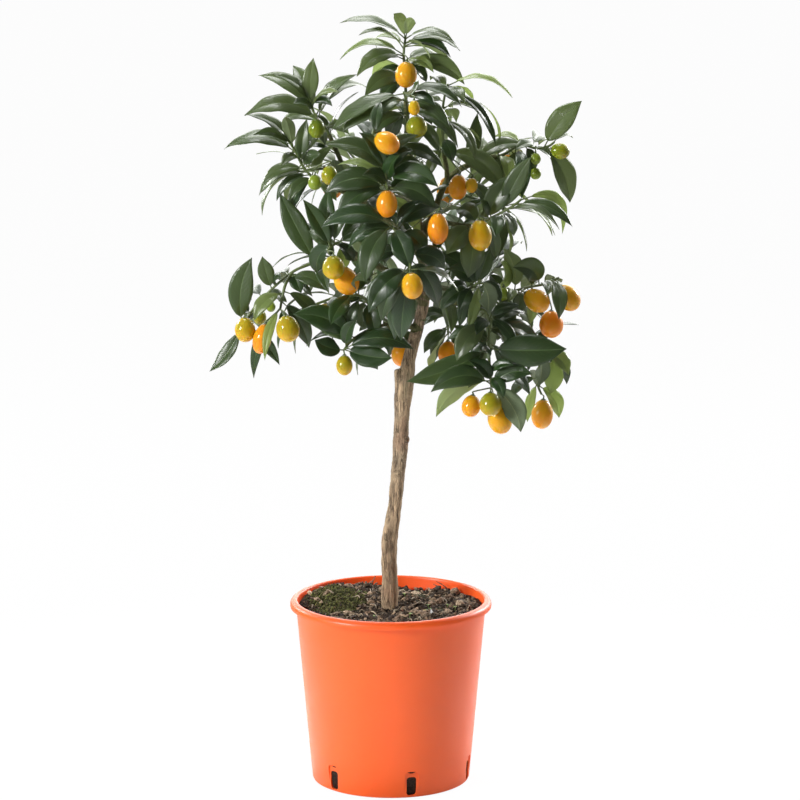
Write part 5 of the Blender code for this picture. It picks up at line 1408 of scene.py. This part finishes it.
def add_calyx(green, crown, axis, spread, rng):
    """A small green star of five blunt lobes that caps the fruit's shoulder."""
    side = axis.orthogonal().normalized()
    over = axis.cross(side)
    start = rng.uniform(0, math.tau)
    rings = ((0.30, 0.9), (0.62, 0.55), (1.0, 0.12))
    points = []
    for reach, height in rings:
        for step in range(CALYX_SIDES):
            angle = start + math.tau * step / CALYX_SIDES
            lobe = 1.0 - (0.34 * reach * reach) * (1 - math.cos(math.tau * step / 4)) / 2
            radius = spread * reach * lobe
            drop = height * 1.1 * MM - 0.25 * MM * (reach > 0.9)
            out = side * math.cos(angle) + over * math.sin(angle)
            points.append(crown + out * radius + axis * drop)
    faces = [tuple(range(CALYX_SIDES))]
    for ring in range(len(rings) - 1):
        faces += ring_quads(ring * CALYX_SIDES, (ring + 1) * CALYX_SIDES, CALYX_SIDES)
    green.add(points, faces, wood=0.25, tone=0.55, seed=rng.random())


def add_fruit_stalk(green, fruit, paths, rng):
    """The stalk from the nearest twig to a fruit's crown, and the calyx there."""
    x, z, y, width, length, lean = fruit[:6]
    axis = fruit_axis(lean)
    crown = seen(x, z, y) + axis * (length / 2 * MM)
    root = nearest_on(paths, crown + axis * 4 * MM)
    points = [crown + axis * rise * MM for rise in (0.2, 1.5, 4)] + [root]
    if (root - crown).length < 9 * MM:
        del points[2]
    radii = [1.5 * MM] + [STALK_RADIUS * size * MM for size in (0.95, 0.8, 0.9)]
    points, radii = eased(points, radii[:len(points)], 4)
    green.add(*round_tube(points, radii, 8), wood=0.45, tone=0.5, seed=rng.random())
    add_calyx(green, crown, axis, min(3.3, width * 0.16) * MM, rng)


def fruit_shape(fruit, sides, rings):
    """An egg a little fuller below its middle, dimpled at its stalk, with a scar at its foot."""
    x, z, y, width, length, lean, colour = fruit[:7]
    turn = Matrix.Rotation(math.radians(lean), 3, "Y")
    centre = seen(x, z, y)
    if colour == "bud":
        centre += fruit_axis(lean) * (CALYX_THICK * MM)
    points, from_stalk = [], []
    for ring in range(rings + 1):
        polar = math.pi * ring / rings
        up = math.cos(polar) * 0.5
        fuller = 1.0 - 0.12 * up - 0.10 * up * up
        radius = math.sin(polar) * 0.5 * width * fuller
        dimple = 0.75 * math.exp(-(radius / 1.7) ** 2) if up > 0 else 0.0
        scar = 0.55 * math.exp(-(radius / 0.8) ** 2) if up < 0 else 0.0
        height = up * length - dimple + scar
        for step in range(sides if 0 < ring < rings else 1):
            angle = math.tau * step / sides
            place = Vector((radius * math.cos(angle), radius * math.sin(angle), height)) * MM
            uneven = 1.0 + 0.010 * noise.noise(place * 130 + centre * 40)
            points.append(centre + turn @ (place * uneven))
            from_stalk.append(0.5 - up)
    faces = [(0, 1 + s, 1 + (s + 1) % sides) for s in range(sides)]
    for ring in range(rings - 2):
        faces += ring_quads(1 + ring * sides, 1 + (ring + 1) * sides, sides)
    foot = len(points) - 1
    faces += [(foot, foot - sides + (s + 1) % sides, foot - sides + s) for s in range(sides)]
    return points, faces, from_stalk


def leaf_width(base, tip, width):
    """The width that a leaf is given, or else one that goes with its length."""
    return width or max(BLADE_WIDTHS[0], min(BLADE_WIDTHS[1], BLADE_ASPECT * (tip - base).length))


def add_clear_leaf(green, base, tips, width, hints, tone, rng):
    """A leaf with the first of its tips that lets it cross no leaf, wood or fruit."""
    state = rng.getstate()
    for tip in tips:
        rng.setstate(state)
        width_here = leaf_width(base, tip, width)
        blade = Build(*GREEN_VALUES)
        add_leaf(blade, base + (tip - base) * 0.12, tip, width_here, hints, tone, rng)
        shape = BVHTree.FromPolygons(blade.points, blade.faces)
        clear = not any(grown.overlap(shape) for grown in crown)
        if clear and all(shape.find_nearest(centre)[3] > reach for centre, reach in berries):
            rng.setstate(state)
            add_leaf(green, base, tip, width_here, hints, tone, rng)
            crown.append(shape)
            return


leaf_green, paint, shader = finish("leaf_green", Specular_IOR_Level=0.38, Coat_Roughness=0.24)
along, side = paint.painted("along"), paint.painted("side")
under, tone = paint.painted("under"), paint.painted("tone")
wood, seed = paint.painted("wood"), paint.painted("seed")
off_rib = abs(side)
rib = 1.0 - off_rib.between(0.015, 0.055)
vein = paint.math("FRACT", (along - off_rib * 0.30) * 11.0 + seed)
vein = 1.0 - abs(vein - 0.5).between(0.02, 0.13)
mottle = paint.noise(70.0, 4.0, 0.6)
fine = paint.noise(500.0, 3.0, 0.6)
painted_edge_light = off_rib.between(0.92, 1.0)
uneven = mottle * 0.6 + seed * 0.5
dark = uneven.blend((0.0045, 0.0160, 0.0032), (0.0150, 0.0455, 0.0066))
light = uneven.blend((0.140, 0.205, 0.042), (0.29, 0.36, 0.105))
# Painted sheen: leaves of middle tones, such as those of the upper sprays, blend from dark green
# towards a greyer green
painted_sheen = mottle.blend((0.040, 0.062, 0.022), (0.068, 0.096, 0.038))
above = tone.between(0.35, 1.0).blend(tone.between(0.0, 0.35).blend(dark, painted_sheen), light)
bud = tone.between(1.0, BUD_TONE)
above = bud.blend(above, (0.190, 0.260, 0.014))
above = (vein * 0.08 * (1.0 - rib)).blend(above, (0.08, 0.15, 0.045))
# The pale rib, and a painted light along the edge of each leaf
above = (rib * 0.45 + painted_edge_light * 0.20).blend(above, (0.12, 0.19, 0.06))
below = tone.blend((0.085, 0.115, 0.062), (0.28, 0.34, 0.15))
below = (vein * 0.18).blend(below, (0.15, 0.19, 0.11))
below = (rib * 0.75).blend(below, (0.24, 0.28, 0.14))
blade = under.blend(above, below)
bare = fine.blend((0.045, 0.078, 0.018), (0.115, 0.140, 0.042))
woody = wood.between(0.1, 0.2)
coat(paint, shader,
     Base_Color=woody.blend(blade, bare),
     Roughness=0.31 + mottle * 0.14 + under * 0.27 + wood * 0.15,
     Coat_Weight=(1.0 - under) * 0.30 * (1.0 - wood),
     height=vein * (0.6 - under * 1.0) + rib * (under * 1.6 - 0.8) + fine * 0.25, rise=0.00020)
mix_in(paint, shader, (0.10 + tone * 0.33) * (1.0 - woody) * (1.0 - bud * 0.8),
       "ShaderNodeBsdfTranslucent", Color=(0.66, 0.76, 0.36, 1.0))

layout = crown_layout()
greens, crown, berries = {}, [], []
for name, (_, plain_tone, twigs, _, fruits) in SPRAYS.items():
    paths = layout[name]
    rng = random.Random(name)
    green = Build(*GREEN_VALUES)
    for points in paths:
        last = len(points) - 1
        sizes = [part_way(TWIG_RADIUS, index / last) * MM for index in range(last + 1)]
        green.add(*round_tube(*eased(points, sizes, 5), 10), wood=0.6, seed=rng.random())
    for fruit in fruits:
        add_fruit_stalk(green, fruit, paths, rng)
        berries.append((seen(*fruit[:3]), fruit[4] * 0.5 * MM))
        if fruit[6] == "bud":
            points, faces, _ = fruit_shape(fruit, 24, 16)
            green.add(points, faces, tone=BUD_TONE, along=0.5, side=0.5, seed=rng.random())
    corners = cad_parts[name].data.vertices
    known = KDTree(len(corners))
    for index, corner in enumerate(corners):
        known.insert(corner.co, index)
    known.balance()
    for base, heading, tips, width, face, arch, tone in leaf_plans(twigs, paths):
        tip = next((place for place in tips if known.find(place)[2] < TIP_FOUND), None)
        if tip:
            if tone is None:
                tone = plain_tone + rng.random() ** 2 * TONE_STRAY
            hints = leaf_hints(base, heading, face, arch)
            add_leaf(green, base, tip, leaf_width(base, tip, width), hints, tone, rng)
    greens[name] = green
    crown.append(BVHTree.FromPolygons(green.points, green.faces))
bark_faces = [face.vertices for face in bark_mesh.polygons]
crown.append(BVHTree.FromPolygons([vertex.co for vertex in bark_mesh.vertices], bark_faces))
for name, (_, _, _, small_leaves, _) in SPRAYS.items():
    rng = random.Random(name + " small")
    for leaf in small_leaves:
        base, heading = along_path(layout[name][-1 if "back" in name else 0], leaf[0])
        width, face, arch = leaf_shape(leaf)
        tone = rng.random() ** 2 * SMALL_TONE_STRAY
        add_clear_leaf(greens[name], base, seen_tips(base, leaf), width,
                       leaf_hints(base, heading, face, arch), tone, rng)
rng = random.Random(11)
greens["limbs"] = Build(*GREEN_VALUES)
for name, count in LIMB_LEAVES.items():
    points = [seen(*place[:3]) for place in WOODY[name]]
    turn = rng.uniform(0, 360)
    shares = STEM_LEAF_SHARES if name == "stem" else LIMB_LEAF_SHARES
    for index in range(count):
        base, heading = along_path(points, part_way(shares, index / (count - 1)))
        turn += SPIRAL_TURN_DEG
        lean, length = rng.uniform(*LIMB_LEAF_LEAN_DEG), rng.uniform(*LIMB_LEAF_LENGTHS)
        tone = rng.random() ** 2 * LIMB_TONE_STRAY
        add_clear_leaf(greens["limbs"], base, spiral_tips(base, heading, turn, lean, length), None,
                       leaf_hints(base, heading, None, 1.0), tone, rng)
for name, green in greens.items():
    stands_for = [name] if name in SPRAYS else []
    piece("green_of_" + name, green.mesh(name), leaf_green, "leaf", *stands_for)


# Kumquats: small egg-shaped berries with glossy, finely pebbled peel that ripens from its foot
# up, from green through olive and amber to orange. Each hangs from its calyx.

PEEL = (
    (0.00, (0.055, 0.095, 0.006)), (0.22, (0.165, 0.210, 0.006)), (0.42, (0.270, 0.235, 0.006)),
    (0.58, (0.500, 0.305, 0.004)), (0.76, (0.600, 0.290, 0.005)), (1.00, (0.690, 0.218, 0.004)),
)
RIPE_BY_NAME = {"green": 0.22, "yellow": 0.60, "orange": 0.90}
FRUIT_SIDES = 48
FRUIT_RINGS = 32
# How much riper the foot is than the crown, and the share of the way down that is as named
RIPER_FOOT = 0.16
AS_NAMED_AT = 0.62

peel, paint, shader = finish("kumquat_peel", Specular_IOR_Level=0.12, Coat_Roughness=0.07,
                             Subsurface_Weight=0.42, Subsurface_Radius=(0.010, 0.005, 0.001),
                             Subsurface_Scale=0.8)
ripe = paint.painted("ripe")
cloud = paint.noise(62.0, 3.0, 0.55)
gland = paint.cells(1250.0)
skin = paint.node("ShaderNodeValToRGB", {"stops": PEEL}, {"Fac": ripe + cloud * 0.34 - 0.17})
skin = (gland.between(0.42, 0.0) * 0.16).blend(skin, (0.30, 0.16, 0.010))
coat(paint, shader,
     Base_Color=skin,
     Roughness=0.48 + cloud * 0.12,
     Coat_Weight=0.44 + cloud * 0.12,
     height=gland.between(0.0, 0.60) + paint.noise(300.0, 2.0) * 0.5, rise=0.00014)
hanging = [fruit for spray in SPRAYS.values() for fruit in spray[-1] if fruit[6] != "bud"]
for number, fruit in enumerate(hanging, 1):
    colour = fruit[6]
    ripeness = fruit[7] if len(fruit) > 7 else RIPE_BY_NAME[colour]
    points, faces, from_stalk = fruit_shape(fruit, FRUIT_SIDES, FRUIT_RINGS)
    berry = Build("ripe")
    ripe = [ripeness + RIPER_FOOT * (share - AS_NAMED_AT) for share in from_stalk]
    berry.add(points, faces, ripe=ripe)
    piece(f"peel_{number:02d}_{colour}", berry.mesh("berry"), peel, "fruit_" + colour,
          f"kumquat_{number:02d}_{colour}")


# Studio: a pale floor in a white surround, a soft key lamp at the left in front, one over the
# top and one behind each side, and a small weak one near the camera that glints on the peel.

FLOOR_HALF = 30.0
FLOOR_BELOW = 0.0004
# How strongly the surround lights the plant from in front, from the sides and from behind
SURROUND_FRONT = 0.11
SURROUND_SIDE = 0.25
SURROUND_BACK = 5.0
BACK_WAY = Vector((0.30, 0.95, 0.08)).normalized()
# Lamps: where each is, how wide, and its watts
LAMPS = {
    "key": ((-2.5, -1.7, 1.35), 1.0, 128.0), "fill": ((-0.25, -3.6, 0.95), 0.15, 9.0),
    "top": ((-0.2, 0.6, 2.9), 1.3, 75.0), "rim_left": ((-1.7, 1.7, 1.3), 0.8, 45.0),
    "rim_right": ((1.7, 1.7, 1.3), 0.8, 60.0),
}
LAMPS_LOOK_AT = Vector((0.0, 0.0, 0.5))
LENS = 178.2
LOOK_DOWN_DEG = 11.409

floor_mesh = bpy.data.meshes.new("floor")
corners = [(x * FLOOR_HALF, y * FLOOR_HALF, 0) for x, y in ((-1, -1), (1, -1), (1, 1), (-1, 1))]
floor_mesh.from_pydata(corners, [], [(0, 1, 2, 3)])
floor = bpy.data.objects.new("studio_floor", floor_mesh)
bpy.context.scene.collection.objects.link(floor)
floor.location.z = -FLOOR_BELOW
floor_finish, paint, shader = finish("studio_floor", Roughness=0.9, Specular_IOR_Level=0.0)
off_pot = paint.node("ShaderNodeVectorMath", {"operation": "LENGTH"}, {0: paint.place()}, 1)
coat(paint, shader,
     Base_Color=off_pot.between(0.25, 0.90).blend((0.92, 0.92, 0.92), (0.35, 0.35, 0.35)))
seen_directly = paint.node("ShaderNodeLightPath", {}, {})
mix_in(paint, shader, seen_directly * 0.97, "ShaderNodeEmission",
       Color=(1.0, 1.0, 1.0, 1.0), Strength=1.0)
floor_mesh.materials.append(floor_finish)

world = bpy.data.worlds.new("studio")
world.use_nodes = True
paint = Paint(world.node_tree)
way = paint.node("ShaderNodeTexCoord", {}, {})
ahead = paint.node("ShaderNodeVectorMath", {"operation": "DOT_PRODUCT"}, {0: way, 1: BACK_WAY}, 1)
seen_directly = paint.node("ShaderNodeLightPath", {}, {})
glow = SURROUND_FRONT + ahead.between(-0.4, 0.5) * (SURROUND_SIDE - SURROUND_FRONT)
glow = glow + ahead.between(0.62, 0.95) * (SURROUND_BACK - SURROUND_SIDE)
strength = seen_directly + (1.0 - seen_directly) * glow
surround = world.node_tree.nodes["Background"]
surround.inputs["Color"].default_value = (1.0, 1.0, 1.0, 1.0)
world.node_tree.links.new(strength.socket, surround.inputs["Strength"])
bpy.context.scene.world = world

for name, (place, width, watts) in LAMPS.items():
    data = bpy.data.lights.new(name, "AREA")
    data.shape = "DISK"
    data.size = width
    data.energy = watts
    lamp = bpy.data.objects.new(name, data)
    lamp.location = place
    lamp.rotation_euler = (LAMPS_LOOK_AT - lamp.location).to_track_quat("-Z", "Y").to_euler()
    bpy.context.scene.collection.objects.link(lamp)

camera_data = bpy.data.cameras.new("camera")
camera_data.sensor_width = 36.0
camera_data.lens = LENS
camera_data.clip_end = 2.0 * FLOOR_HALF
camera = bpy.data.objects.new("camera", camera_data)
camera.location = EYE
camera.rotation_euler = (math.radians(90.0 - LOOK_DOWN_DEG), 0.0, 0.0)
bpy.context.scene.collection.objects.link(camera)
bpy.context.scene.camera = camera
bpy.context.scene.view_settings.view_transform = "Standard"
